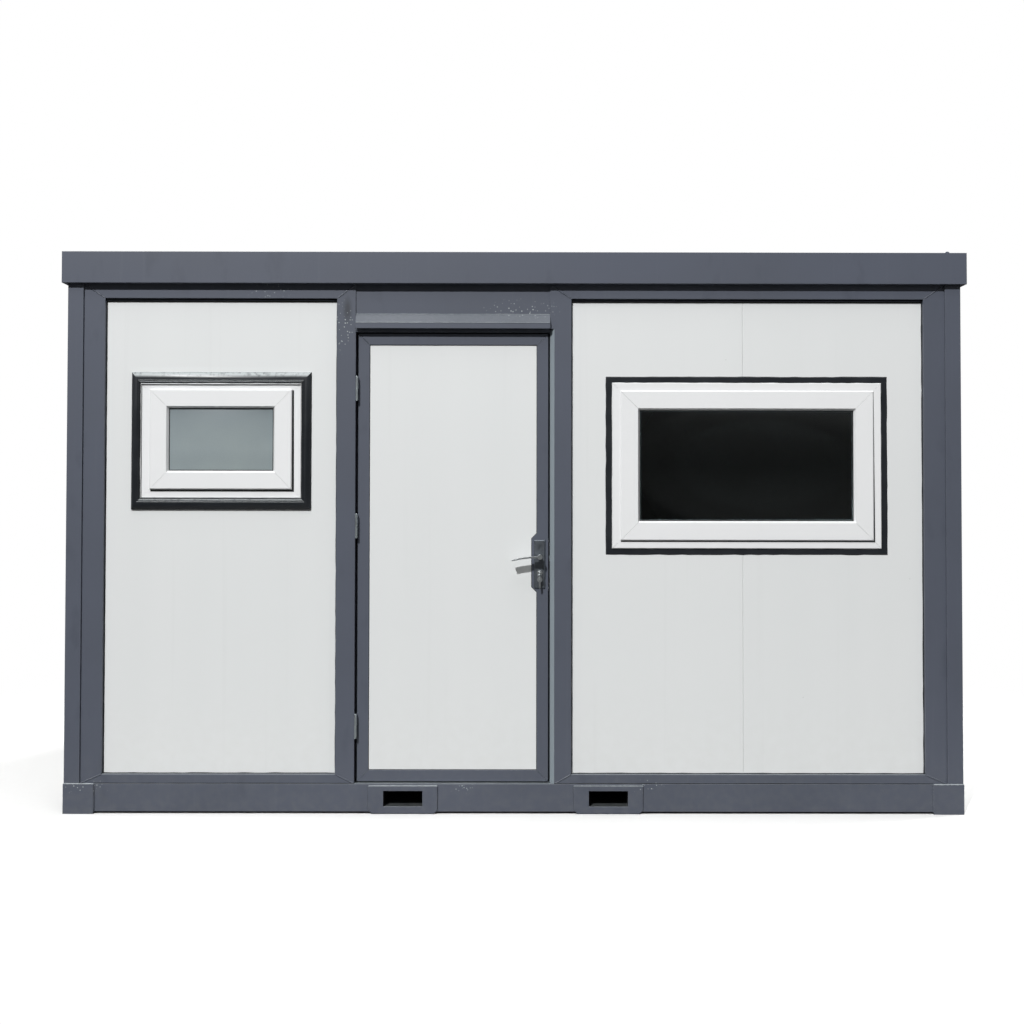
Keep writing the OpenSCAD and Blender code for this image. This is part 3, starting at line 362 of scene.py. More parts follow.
materials = {
    "frame_paint": powderCoat("powderCoatedSteel", "#575c68", "#494e59", 0.15),
    # drip cap and lock jamb: a dark painted shade on the upward slope, a pale painted highlight on
    # faces that lean left
    "drip_paint": powderCoat("powderCoatedSheet", "#585d69", "#4d525d", 0.2, 1.0, "#39444a", 0.8),
    # near-black tunnel paint: a painted shade for the fork pockets' dark inside
    "tunnel_steel": powderCoat("tunnelSteelPaintedShade", "#1f2124", "#151618", 0.15, 0.1),
    "joist_steel": powderCoat("primedJoistSteel", "#4d525b", "#3e4249", 0.5),
    "panel_steel": coilCoatedPanel(),
    "floor_board": particleBoard(),
    "floor_vinyl": sheetVinyl(),
    "galvanised": galvanisedSheet(),
    "upvc": extrudedUpvc(),
    "dark_trim": paintedTrim(),
    "frosted_glass": frostedGlass(),
    "clear_glass": floatGlass(),
    "hinge_steel": platedMetal("zincPlatedSteel", "#c6cfd2", "#a5aeb1", 0.34, 0.5),
    "handle_metal": platedMetal("satinZincAlloy", "#7a8087", "#5d6268", 0.38, 0.55),
    "bright_metal": platedMetal("satinNickel", "#d6dbdd", "#b4babd", 0.3, 0.42),
    "rubber_seal": mouldedRubber(),
}
darkSealant = gunnedSealant("darkSealant", "#26282c", "#3b3e43")
# a pale copy of the frame paint: a painted highlight on lit edges and beads
highlightPaint = powderCoat("highlightPowderCoat", "#a3aaae", "#6a7078", 0.2)
whiteSealant = gunnedSealant("whiteSealant", "#e2e4e4", "#c3c5c2")
print("materials made:", len(bpy.data.materials))

# CAD nodes take their materials
subparts = {row["node"]: row["material_slot"] for row in frame["record"]["subparts"]}
for nodeName, slotName in subparts.items():
    node = nodes[nodeName]
    for materialSlot in node.material_slots:
        materialSlot.material = materials[slotName]
print("CAD nodes finished:", len(subparts))


# mesh tools
def vec(x, y, z):
    return Vector((x, y, z))


out = vec(0, -1, 0)  # out of the front wall


def arcPoints(radius, steps, turn=2 * math.pi):  # a whole circle, or part of one with both ends
    count = steps if turn == 2 * math.pi else steps + 1
    angles = [turn * k / steps for k in range(count)]
    return [(radius * math.cos(t), radius * math.sin(t)) for t in angles]


def bridge(bm, rings, capped=False):  # faces from each ring of corners to the next, or to a point
    for low, high in zip(rings, rings[1:]):
        count = max(len(low), len(high))
        for k in range(count):
            n = (k + 1) % count
            corners = [low[i % len(low)] for i in (k, n)] + [high[i % len(high)] for i in (n, k)]
            bm.faces.new(list(dict.fromkeys(corners)))
    if capped:
        bm.faces.new(rings[0])
        bm.faces.new(list(reversed(rings[-1])))


def addSweep(bm, path, section, out, closed=True, scale=None, wall="front"):
    # a section of (side, out) points carried along a mitred path; scale gives its size at a point
    first = len(bm.verts)
    rings = []
    count = len(path)
    for i, point in enumerate(path):
        before = path[i - 1] if closed or i > 0 else None
        after = path[(i + 1) % count] if closed or i < count - 1 else None
        sides = [(b - a).normalized().cross(out) for a, b in ((before, point), (point, after))
                 if a is not None and b is not None]
        side = sides[0] if len(sides) == 1 else (sides[0] + sides[1]) / (1 + sides[0].dot(sides[1]))
        size = scale(i) if scale else 1.0
        rings.append([bm.verts.new(point + side * a * size + out * b * size) for a, b in section])
    bridge(bm, rings + rings[:1] if closed else rings, not closed)
    bm.verts.ensure_lookup_table()
    bmesh.ops.transform(bm, matrix=turnedTo(wall), verts=bm.verts[first:])


def addRing(bm, centre, axis, radius, level, steps):  # corners round an axis, or its own point
    turn = Vector((0, 0, 1)).rotation_difference(Vector(axis)).to_matrix()
    points = arcPoints(radius, steps) if radius else [(0, 0)]
    return [bm.verts.new(centre + turn @ vec(x, y, level)) for x, y in points]


def addLathe(bm, profile, centre, axis, steps=20):
    # a turned shape: profile is (radius, height) from foot to top, closed where the radius is 0
    bridge(bm, [addRing(bm, centre, axis, radius, level, steps) for radius, level in profile])


def addHexHead(bm, centre, axis, across, height):  # hexagon head with its corners turned off
    corner = across / math.sqrt(3)
    profile = ((corner, 0), (corner, height * 0.75), (corner * 0.84, height))
    bridge(bm, [addRing(bm, centre, axis, radius, level, 6) for radius, level in profile], True)


def addBox(bm, low, high, edge):
    low, high = Vector(low), Vector(high)
    made = bmesh.ops.create_cube(bm, size=1)
    for vert in made["verts"]:
        vert.co = vec(*[low[i] if vert.co[i] < 0 else high[i] for i in range(3)])
    edges = {e for v in made["verts"] for e in v.link_edges}
    if edge:
        bmesh.ops.bevel(bm, geom=list(edges), offset=edge, segments=2, affect="EDGES", profile=0.5)


def finishPiece(name, bm, slotName, body="cabin", material=None, sharp=35):
    # a piece takes its slot's material unless it brings its own
    bmesh.ops.remove_doubles(bm, verts=bm.verts, dist=0.01 * mm)
    bmesh.ops.recalc_face_normals(bm, faces=bm.faces)
    mesh = bpy.data.meshes.new(name)
    bm.to_mesh(mesh)
    bm.free()
    for polygon in mesh.polygons:
        polygon.use_smooth = True
    mesh.set_sharp_from_angle(angle=math.radians(sharp))
    mesh.materials.append(material or materials[slotName])
    piece = bpy.data.objects.new(name, mesh)
    bpy.context.scene.collection.objects.link(piece)
    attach(piece, body)
    return piece


def rectPath(x0, x1, z0, z1, y, step=None):
    # a rectangle in a front wall's plane, with extra points for a bead that wanders
    corners = [vec(x0, y, z0), vec(x0, y, z1), vec(x1, y, z1), vec(x1, y, z0)]
    return steppedLoop(corners, step) if step else corners


def linePath(a, b, step):
    n = max(1, round((b - a).length / step))
    return [a.lerp(b, k / n) for k in range(n + 1)]


def steppedLoop(corners, step):
    sides = zip(corners, corners[1:] + corners[:1])
    return [point for a, b in sides for point in linePath(a, b, step)[:-1]]


def unevenScale(seed, spread):  # a hand-laid bead swells and thins
    dice = random.Random(seed)
    return lambda i: 1 + dice.uniform(-spread, spread)


def addBead(bm, a, b, section, size, seed, wall="front", out=out):  # straight, by hand
    scale = unevenScale(seed, size["spread"])
    addSweep(bm, linePath(a, b, size["step"]), section, out, False, scale, wall)


def turnedTo(wall):  # what is made for the front is turned to another wall
    angles = {"front": 0, "back": math.pi, "left": -math.pi / 2, "right": math.pi / 2}
    return Matrix.Rotation(angles[wall], 4, "Z")


# places read from the frame
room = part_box("ceiling_panel")
roomX, roomY = room[1].x, room[1].y
wallTop = room[0].z
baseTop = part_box("corner_blocks")[1].z
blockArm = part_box("long_base_rails")[1].x
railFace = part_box("long_base_rails")[0].y
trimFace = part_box("level_trims")[0].y
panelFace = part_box("front_panel_left")[0].y
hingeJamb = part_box("hinge_jamb")
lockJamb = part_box("lock_jamb")
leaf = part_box("leaf_frame")
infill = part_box("leaf_infill")
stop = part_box("door_stop")
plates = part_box("handle_plates")
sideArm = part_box("side_base_rails")[1].y
trims = {"postWidth": 95 * mm, "top": 64 * mm, "bottom": 41 * mm}  # faces of the trims round a bay
bayLow = baseTop + trims["bottom"]
bayHigh = wallTop - trims["top"]
bayX = roomX - trims["postWidth"]
bayY = roomY - trims["postWidth"]
sidePanelFace = -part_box("side_panels")[1].x
sideTrimFace = -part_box("upright_trims")[1].x
bays = [("front", -bayX, hingeJamb[0].x, panelFace), ("front", lockJamb[1].x, bayX, panelFace),
        ("back", -bayX, bayX, panelFace), ("left", -bayY, bayY, sidePanelFace),
        ("right", -bayY, bayY, sidePanelFace)]
bevel = 19 * mm  # of the lock jamb, beside the leaf
lock = {"leverDown": 75 * mm,  # from the plates' top
        "cylinderDown": 72 * mm}  # from the lever
leverZ = plates[1].z - lock["leverDown"]
cylinderZ = leverZ - lock["cylinderDown"]
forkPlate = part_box("fork_plates")
plateHalf = 153 * mm  # half of a fork plate's width
pocketMiddles = (forkPlate[0].x + plateHalf, forkPlate[1].x - plateHalf)


# sealant beads where the panels meet their trims
def buildBayBeads():
    size = {"leg": 4.5 * mm, "step": 45 * mm, "spread": 0.22}
    leg = size["leg"]
    section = [(0, 0), (leg, 0), (leg * 0.45, leg * 0.42), (0, leg)]
    bm = bmesh.new()
    for seed, (wall, x0, x1, face) in zip((0, 1, 5, 6, 7), bays):
        path = rectPath(x0, x1, bayLow, bayHigh, face, size["step"])
        addSweep(bm, path, section, out, scale=unevenScale(seed, size["spread"]), wall=wall)
    finishPiece("bay_sealant", bm, "rubber_seal", material=darkSealant)


def buildTopShadowGaskets():
    # a wide black gasket under each top trim, with a painted keeper strip along its middle:
    # together a painted shadow of the trim on the panel
    size = {"height": 15 * mm, "depth": 5 * mm, "strip": 3.5 * mm, "proud": 1.5 * mm}
    h, d = size["height"], size["depth"]
    mid, half = h / 2, size["strip"] / 2
    shadowGasket = [(0, 0), (h, 0), (h * 0.9, d * 0.8), (h * 0.6, d), (h * 0.4, d), (h * 0.1, d * 0.8)]
    strip = [(mid - half, d * 0.6), (mid + half, d * 0.6), (mid + half, d + size["proud"]),
             (mid - half, d + size["proud"])]
    rubber, painted = bmesh.new(), bmesh.new()
    for wall, x0, x1, face in bays:
        path = [vec(x0, face, bayHigh), vec(x1, face, bayHigh)]
        for bm, section in ((rubber, shadowGasket), (painted, strip)):
            addSweep(bm, path, section, out, False, wall=wall)
    finishPiece("bay_top_shadow_gasket", rubber, "rubber_seal")
    finishPiece("bay_top_strip", painted, "frame_paint")


def buildMitreWelds():
    # filled and painted mitres of the trims, as low beads that stop just short of the corners
    size = {"width": 7 * mm, "height": 0.9 * mm, "step": 7 * mm, "spread": 0.3, "short": 0.04}
    w, h = size["width"] / 2, size["height"]
    section = [(-w, 0), (-w * 0.5, h * 0.8), (0, h), (w * 0.5, h * 0.8), (w, 0)]
    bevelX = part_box("drip_cap")[1].x + bevel
    doorLeft, doorRight = hingeJamb[1].x, lockJamb[0].x
    front = [((-roomX, baseTop), (-bayX, bayLow)), ((-roomX, wallTop), (-bayX, bayHigh)),
             ((doorLeft, baseTop), (hingeJamb[0].x, bayLow)),
             ((doorLeft, wallTop), (hingeJamb[0].x, bayHigh)),
             ((bevelX, baseTop), (lockJamb[1].x, bayLow)),
             ((doorRight, wallTop), (lockJamb[1].x, bayHigh)),
             ((roomX, baseTop), (bayX, bayLow)), ((roomX, wallTop), (bayX, bayHigh))]

    def corners(half, inner):
        return [((s * half, z), (s * inner, bay)) for s in (-1, 1)
                for z, bay in ((baseTop, bayLow), (wallTop, bayHigh))]

    bm = bmesh.new()
    walls = (("front", front, trimFace), ("back", corners(roomX, bayX), trimFace),
             ("left", corners(roomY, bayY), sideTrimFace),
             ("right", corners(roomY, bayY), sideTrimFace))
    for k, (wall, seams, face) in enumerate(walls):
        for i, (a, b) in enumerate(seams):
            start, end = vec(a[0], face, a[1]), vec(b[0], face, b[1])
            addBead(bm, start.lerp(end, size["short"]), start.lerp(end, 1 - size["short"]), section,
                    size, 10 * k + i, wall)
    finishPiece("mitre_seams", bm, "frame_paint")


def buildDripRims():
    # the fold over the drip cap's lip and the bead along its top, both in a pale paint that is a
    # painted highlight
    size = {"radius": 1.5 * mm, "lip": 26 * mm, "step": 11 * mm, "spread": 0.3}
    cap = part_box("drip_cap")
    r = size["radius"]
    section = arcPoints(r, 8)
    bm = bmesh.new()
    for k, (y, z) in enumerate(((cap[1].y, cap[1].z), (cap[0].y, cap[0].z + size["lip"]))):
        addBead(bm, vec(cap[0].x + mm, y, z), vec(cap[1].x - mm, y, z), section, size, 240 + k)
    finishPiece("drip_cap_rims", bm, "drip_paint", material=highlightPaint)


# weld beads of the base, and the dark joint over its rails
def buildBaseWelds():
    size = {"leg": 6 * mm, "step": 5 * mm, "spread": 0.28, "plateLeg": 4 * mm, "plateGap": 12 * mm,
            "topGap": 2 * mm}
    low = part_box("long_base_rails")[0].z
    sideRail = -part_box("side_base_rails")[1].x
    runs = []  # wall, place, side of the corner, face, leg, lowest and highest level
    for wall, arm, face in (("front", blockArm, railFace), ("back", blockArm, railFace),
                            ("left", sideArm, sideRail), ("right", sideArm, sideRail)):
        runs += [(wall, side * arm, -side, face, size["leg"], low, baseTop - size["topGap"])
                 for side in (-1, 1)]
        turn = {"front": 1, "back": -1}.get(wall)
        if turn:
            runs += [(wall, turn * x + side * plateHalf, side, face, size["plateLeg"],
                      low + size["plateGap"], forkPlate[1].z)
                     for x in pocketMiddles for side in (-1, 1)]
    bm = bmesh.new()
    for k, (wall, x, side, face, leg, z0, z1) in enumerate(runs):
        section = [(0, 0), (side * leg, 0), (side * leg * 0.4, leg * 0.62), (0, leg)]
        addBead(bm, vec(x, face, z0), vec(x, face, z1), section, size, 41 + k, wall)
    finishPiece("base_welds", bm, "frame_paint")


def buildHighlitBaseBeads():
    # weld beads on the base's upper edges, in a pale paint that is a painted highlight along the
    # lit edges
    size = {"radius": 3 * mm, "plateRadius": 2 * mm, "step": 9 * mm, "spread": 0.3}
    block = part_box("corner_blocks")
    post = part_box("corner_posts")[1]
    runs = []
    for turn, wall in ((1, "front"), (-1, "back")):
        for side in (-1, 1):
            runs.append((wall, side * block[1].x, side * blockArm, -post.y, baseTop,
                         size["radius"]))
        for x in pocketMiddles:
            runs.append((wall, turn * x - plateHalf, turn * x + plateHalf, railFace,
                         forkPlate[1].z + size["plateRadius"], size["plateRadius"]))
    for wall in ("left", "right"):
        for side in (-1, 1):
            runs.append((wall, side * block[1].y, side * sideArm, -post.x, baseTop, size["radius"]))
    bm = bmesh.new()
    for k, (wall, x0, x1, face, z, radius) in enumerate(runs):
        section = arcPoints(radius, 6, math.pi)
        addBead(bm, vec(x0 * 0.999, face, z), vec(x1, face, z), section, size, 120 + k, wall)
    finishPiece("base_edge_beads", bm, "frame_paint", material=highlightPaint)


def buildBaseJoints():
    size = {"height": 3.5 * mm, "depth": 1.6 * mm, "step": 60 * mm, "spread": 0.2}
    h, d = size["height"], size["depth"]
    section = [(0, 0), (h, 0), (h * 0.7, d), (h * 0.2, d)]
    runs = [("front", -blockArm, hingeJamb[1].x, trimFace),
            ("front", lockJamb[0].x + bevel, blockArm, trimFace),
            ("back", -blockArm, blockArm, trimFace),
            ("left", -sideArm, sideArm, sideTrimFace), ("right", -sideArm, sideArm, sideTrimFace)]
    bm = bmesh.new()
    for k, (wall, x0, x1, face) in enumerate(runs):
        addBead(bm, vec(x1, face, baseTop), vec(x0, face, baseTop), section, size, 60 + k, wall)
    finishPiece("base_joint_seal", bm, "rubber_seal", material=darkSealant)


# windows
def buildMoulding(name, box, inner):
    # lacquered moulding round the small window: outer edge, wide slope, two grooves, inner step
    size = {"edge": 9 * mm, "top": 20 * mm, "slope": 22 * mm, "groove": 1.4 * mm, "step": 5 * mm}
    wide = inner[0].x - box[0].x
    tall = inner[0].z - box[0].z

    def ring(inset, level):  # inset runs from 0 outside to 1 at the window frame
        x0, x1 = box[0].x + wide * inset, box[1].x - wide * inset
        z0, z1 = box[0].z + tall * inset, box[1].z - tall * inset
        return rectPath(x0, x1, z0, z1, panelFace - level)

    slope = size["slope"] / wide
    top, groove = size["top"], size["groove"]
    profile = [(0, 0), (0, size["edge"] - 1 * mm), (0.02, size["edge"])]
    profile += [(slope * t, size["edge"] + (top - size["edge"]) * rise)
                for t, rise in ((0.9, 0.92), (1.0, 1.0))]
    profile += [(0.62, top), (0.64, top - groove), (0.67, top - groove), (0.69, top),
                (0.75, top), (0.77, top - groove), (0.8, top - groove), (0.82, top),
                (0.86, top - size["step"]), (1, top - size["step"]), (1, 0)]
    bm = bmesh.new()
    rings = [[bm.verts.new(p) for p in ring(*point)] for point in profile]
    bridge(bm, rings + rings[:1])
    return finishPiece(name, bm, "dark_trim", sharp=30)


def buildGlazing(prefix, glassNode, slotName):
    # sealed unit: two panes with an aluminium spacer between them
    size = {"pane": 4 * mm, "spacer": 7 * mm, "shrink": 0.3 * mm}
    low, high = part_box(glassNode)
    bm = bmesh.new()
    for y0, y1 in ((low.y, low.y + size["pane"]), (high.y - size["pane"], high.y)):
        addBox(bm, (low.x, y0, low.z), (high.x, y1, high.z), 0.3 * mm)
    unit = finishPiece(prefix + "_glazing_unit", bm, slotName)
    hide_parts(glassNode)
    bm = bmesh.new()
    w = size["spacer"]
    depth = high.y - low.y - 2 * size["pane"] - 2 * size["shrink"]
    section = [(0, 0), (w, 0), (w, depth * 0.3), (w * 0.8, depth * 0.5), (w, depth * 0.7),
               (w, depth), (0, depth)]
    path = rectPath(low.x, high.x, low.z, high.z, high.y - size["pane"] - size["shrink"])
    addSweep(bm, path, section, out)
    finishPiece(prefix + "_glass_spacer", bm, "hinge_steel")


def buildGlassSeals(prefix, glassNode):
    # rubber seals pressed between the beads and the glass, outside and inside
    size = {"width": 3.2 * mm, "height": 2.4 * mm}
    low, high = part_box(glassNode)
    w, h = size["width"], size["height"]
    section = [(0, 0), (w, 0), (w * 0.9, h * 0.6), (w * 0.4, h), (0, h)]
    bm = bmesh.new()
    addSweep(bm, rectPath(low.x, high.x, low.z, high.z, low.y), section, out)
    addSweep(bm, list(reversed(rectPath(low.x, high.x, low.z, high.z, high.y))), section, -out)
    finishPiece(prefix + "_glass_seals", bm, "rubber_seal")


def buildCornerWelds(prefix, frameNode, sashNode, glassNode):
    # the thin raised line left where uPVC corners are welded and trimmed
    size = {"width": 1.6 * mm, "height": 0.35 * mm, "sashIn": 5 * mm, "glassOut": 10 * mm,
            "frameIn": 24 * mm}
    w, h = size["width"] / 2, size["height"]
    section = [(-w, 0), (0, h), (w, 0)]
    frameBox, sash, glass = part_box(frameNode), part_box(sashNode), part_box(glassNode)
    bm = bmesh.new()
    for sx in (0, 1):
        for sz in (0, 1):
            def corner(box, inset):
                x = box[sx].x + (inset if sx == 0 else -inset)
                z = box[sz].z + (inset if sz == 0 else -inset)
                return x, z
            ends = ((sash[0].y, corner(sash, size["sashIn"]), corner(glass, -size["glassOut"])),
                    (frameBox[0].y, corner(frameBox, 1 * mm), corner(frameBox, size["frameIn"])))
            for y, a, b in ends:
                addSweep(bm, [vec(a[0], y, a[1]), vec(b[0], y, b[1])], section, out, False)
    finishPiece(prefix + "_corner_welds", bm, "upvc")


def buildSashShadowStrip(prefix, sashNode, frameNode, width, rightShare):
    # a black rubber strip under the sash and at its right, standing in for the sash's shadow and
    # gap: a painted shadow
    size = {"height": 3 * mm}
    sash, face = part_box(sashNode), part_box(frameNode)[0].y
    h = size["height"]
    section = [(0, 0), (width, 0), (width * 0.9, h * 0.7), (width * 0.5, h), (0, h)]
    bm = bmesh.new()
    path = [vec(sash[0].x + 3 * mm, face, sash[0].z), vec(sash[1].x, face, sash[0].z),
            vec(sash[1].x, face, sash[1].z - 3 * mm)]
    addSweep(bm, path, section, out, False, lambda i: (1, 1, rightShare)[i])
    finishPiece(prefix + "_sash_shadow_strip", bm, "rubber_seal")


def buildTrimSealant(prefix, trimNode, frameNode, seed):
    # a hand-laid dark bead round the trim, and a white one between the trim and the frame
    size = {"leg": 4 * mm if prefix == "large" else 1.5 * mm, "step": 34 * mm, "spread": 0.3,
            "inner": 3 * mm}
    trim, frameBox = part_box(trimNode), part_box(frameNode)
    leg = size["leg"]
    bm = bmesh.new()
    section = [(0, 0), (-leg, 0), (-leg * 0.5, leg * 0.35), (0, leg * 0.62)]
    path = rectPath(trim[0].x, trim[1].x, trim[0].z, trim[1].z, panelFace, size["step"])
    addSweep(bm, path, section, out, scale=unevenScale(seed, size["spread"]))
    finishPiece(prefix + "_trim_sealant", bm, "rubber_seal", material=darkSealant)
    leg = size["inner"]
    bm = bmesh.new()
    section = [(0, 0), (-leg, 0), (-leg * 0.4, leg * 0.5), (0, leg)]
    level = trim[0].y if prefix == "large" else trim[0].y + 5 * mm
    path = rectPath(frameBox[0].x, frameBox[1].x, frameBox[0].z, frameBox[1].z, level, size["step"])
    addSweep(bm, path, section, out, scale=unevenScale(seed + 1, size["spread"]))
    finishPiece(prefix + "_frame_sealant", bm, "upvc", material=whiteSealant)


# the door's small parts
def buildDoorSeals():
    # a bulb seal on the stop, in line with its 8 mm lap behind the leaf, and a blade under the leaf
    size = {"bulb": 8 * mm, "height": 4 * mm, "lap": 8 * mm, "blade": 3.4 * mm, "inset": 4 * mm}
    y, lap = stop[0].y, size["lap"]
    z0, z1 = stop[0].z + 1 * mm, leaf[1].z - lap
    x0, x1 = leaf[0].x + lap, leaf[1].x - lap
    w, h = size["bulb"], size["height"]
    section = [(w / 2 * x - w / 2 + 0.2 * mm, h * y) for x, y in arcPoints(1, 8, math.pi)]
    bm = bmesh.new()
    path = [vec(x0, y, z0), vec(x0, y, z1), vec(x1, y, z1), vec(x1, y, z0)]
    addSweep(bm, path, section, out, False)
    finishPiece("door_stop_seal", bm, "rubber_seal")
    bm = bmesh.new()
    middle, foot = (leaf[0].y + leaf[1].y) / 2, leaf[0].z
    left, right = leaf[0].x + size["inset"], leaf[1].x - size["inset"]
    addBox(bm, (left, middle - 15 * mm, foot - size["blade"]),
           (right, middle - 12 * mm, foot + 0.2 * mm), 0.5 * mm)
    addBox(bm, (left, middle - 18 * mm, foot - 1.2 * mm), (right, middle + 2 * mm, foot), 0.4 * mm)
    finishPiece("leaf_bottom_seal", bm, "rubber_seal", "door")


def buildInfillJoint():
    # thin dark joint where the white infill meets the leaf's frame, with the lock box's cut corners
    size = {"leg": 2.6 * mm, "reach": 23 * mm, "boxHeight": 262 * mm, "drop": 27 * mm}
    leg = size["leg"]
    middle, half, reach = leverZ - size["drop"], size["boxHeight"] / 2, size["reach"]
    x0, x1, z0, z1 = infill[0].x, infill[1].x, infill[0].z, infill[1].z
    outline = [(x0, z0), (x0, z1), (x1, z1), (x1, middle + half),
               (x1 - reach, middle + half - reach), (x1 - reach, middle - half + reach),
               (x1, middle - half), (x1, z0)]
    section = [(0, 0), (leg, 0), (leg * 0.4, leg * 0.4), (0, leg)]
    bm = bmesh.new()
    for y, direction, order in ((infill[0].y, out, 1), (infill[1].y, -out, -1)):
        addSweep(bm, [vec(x, y, z) for x, z in outline][::order], section, direction)
    finishPiece("infill_joint", bm, "rubber_seal", "door", darkSealant)


def buildLeafMitres():
    # the welded and ground corner joints of the leaf's frame, on both faces
    size = {"width": 3 * mm, "height": 0.5 * mm, "step": 8 * mm, "spread": 0.3}
    w, h = size["width"] / 2, size["height"]
    section = [(-w, 0), (0, h), (w, 0)]
    corners = [(face, i, k) for face in (0, 1) for i in (0, 1) for k in (0, 1)]
    bm = bmesh.new()
    for seed, (face, i, k) in enumerate(corners, 201):
        a = vec(leaf[i].x, leaf[face].y, leaf[k].z)
        b = vec(infill[i].x, leaf[face].y, infill[k].z)
        direction = -out if face else out
        addBead(bm, a.lerp(b, 0.05), a.lerp(b, 0.95), section, size, seed, out=direction)
    finishPiece("leaf_mitre_seams", bm, "frame_paint", "door")


def buildHingeFittings():
    # turned caps on both ends of each barrel, and a bearing ring at its middle
    size = {"radius": 5.5 * mm, "cap": 2.2 * mm, "ring": 6.1 * mm, "ringHeight": 1.2 * mm,
            "barrel": 106 * mm, "upperGap": 615 * mm}
    leafHinge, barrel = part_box("leaf_hinges"), size["barrel"]
    x, y = (leafHinge[0].x + leafHinge[1].x) / 2, leafHinge[0].y + size["radius"]
    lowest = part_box("frame_hinges")[0].z + barrel / 2
    highest = leafHinge[1].z - barrel / 2
    r, cap = size["radius"], size["cap"]
    dome = [(0, 0), (r, 0), (r, cap * 0.35), (r * 0.85, cap * 0.75), (r * 0.45, cap),
            (0, cap * 1.06)]
    ring, rise = size["ring"], size["ringHeight"] / 2
    band = [(r, -rise), (ring * 0.97, -rise), (ring, -rise * 0.5), (ring, rise * 0.5),
            (ring * 0.97, rise), (r, rise), (r, -rise)]
    bmLow, bmHigh = bmesh.new(), bmesh.new()
    for z in (lowest, highest - size["upperGap"], highest):
        addLathe(bmHigh, dome, vec(x, y, z + barrel / 2), (0, 0, 1))
        addLathe(bmLow, dome, vec(x, y, z - barrel / 2), (0, 0, -1))
        addLathe(bmLow, band, vec(x, y, z - rise - 0.3 * mm), (0, 0, 1))
    finishPiece("frame_hinge_caps", bmLow, "hinge_steel")
    finishPiece("leaf_hinge_caps", bmHigh, "hinge_steel", "door")


def buildLockFurniture():
    # faceplate with its latch and bolt on the leaf's edge, strike plate on the jamb, plate screws
    size = {"plateW": 22 * mm, "plateH": 235 * mm, "plateT": 1.5 * mm, "latch": 5 * mm,
            "screw": 3.6 * mm, "screwInset": 12 * mm, "strikeW": 26 * mm, "strikeH": 190 * mm,
            "strikeT": 1.2 * mm, "strikeEdge": 6 * mm, "strikeInset": 9 * mm,
            "plateScrewInset": 14 * mm, "sunk": 0.2 * mm}
    edge, middleY = leaf[1].x, (leaf[0].y + leaf[1].y) / 2
    half, t, sunk = size["plateW"] / 2, size["plateT"], size["sunk"]
    centre, tall = (leverZ + cylinderZ) / 2, size["plateH"] / 2
    bm = bmesh.new()
    addBox(bm, (edge - sunk, middleY - half, centre - tall),
           (edge + t, middleY + half, centre + tall), 0.4 * mm)
    # the latch has a slanted face, so it is a wedge
    latch = [(0, -5 * mm), (size["latch"], 4 * mm), (size["latch"], 6 * mm), (0, 6 * mm)]
    rows = [[bm.verts.new((edge + t + a - sunk, middleY + b, z)) for a, b in latch]
            for z in (leverZ - 14 * mm, leverZ + 4 * mm)]
    bridge(bm, rows, True)
    addBox(bm, (edge + t - sunk, middleY - 5 * mm, cylinderZ - 16 * mm),
           (edge + t + 1 * mm, middleY + 5 * mm, cylinderZ + 14 * mm), 0.5 * mm)
    for z in (centre - tall + size["screwInset"], centre + tall - size["screwInset"]):
        addScrew(bm, vec(edge + t - 0.1 * mm, middleY, z), (1, 0, 0), size["screw"])
    finishPiece("lock_faceplate", bm, "bright_metal", "door")

    bm = bmesh.new()
    jamb, half, thin = lockJamb[0].x, size["strikeW"] / 2, size["strikeT"]
    lowest, highest = centre - size["strikeH"] / 2, centre + size["strikeH"] / 2
    holes = [(cylinderZ - 1 * mm, 18 * mm), (leverZ - 5 * mm, 12 * mm)]  # middle and half height
    levels = [lowest] + [z + side * tall for z, tall in holes for side in (-1, 1)] + [highest]
    for k in range(0, len(levels), 2):  # solid stretches between the two holes
        addBox(bm, (jamb - thin, middleY - half, levels[k]),
               (jamb + 0.1 * mm, middleY + half, levels[k + 1]), 0.3 * mm)
    strip = size["strikeEdge"] / 2
    for side in (-1, 1):  # the strips beside the holes
        y = middleY + side * (half - strip)
        addBox(bm, (jamb - thin, y - strip, lowest + 1 * mm),
               (jamb + 0.1 * mm, y + strip, highest - 1 * mm), 0.3 * mm)
    for z in (lowest + size["strikeInset"], highest - size["strikeInset"]):
        addScrew(bm, vec(jamb - thin + 0.1 * mm, middleY, z), (-1, 0, 0), size["screw"])
    finishPiece("strike_plate", bm, "bright_metal")

    bm = bmesh.new()
    x, inset = (plates[0].x + plates[1].x) / 2, size["plateScrewInset"]
    for z in (plates[0].z + inset, plates[1].z - inset):
        addScrew(bm, vec(x, plates[1].y - 0.1 * mm, z), (0, 1, 0), size["screw"])
    finishPiece("plate_screws", bm, "bright_metal", "door")


def addScrew(bm, centre, axis, radius):
    # pan head with a round socket sunk in its top
    profile = [(0, 0), (radius, 0), (radius, 0.25 * radius), (radius * 0.86, 0.5 * radius),
               (radius * 0.55, 0.62 * radius), (radius * 0.3, 0.64 * radius),
               (radius * 0.22, 0.3 * radius), (0, 0.28 * radius)]
    addLathe(bm, profile, centre, axis, 16)


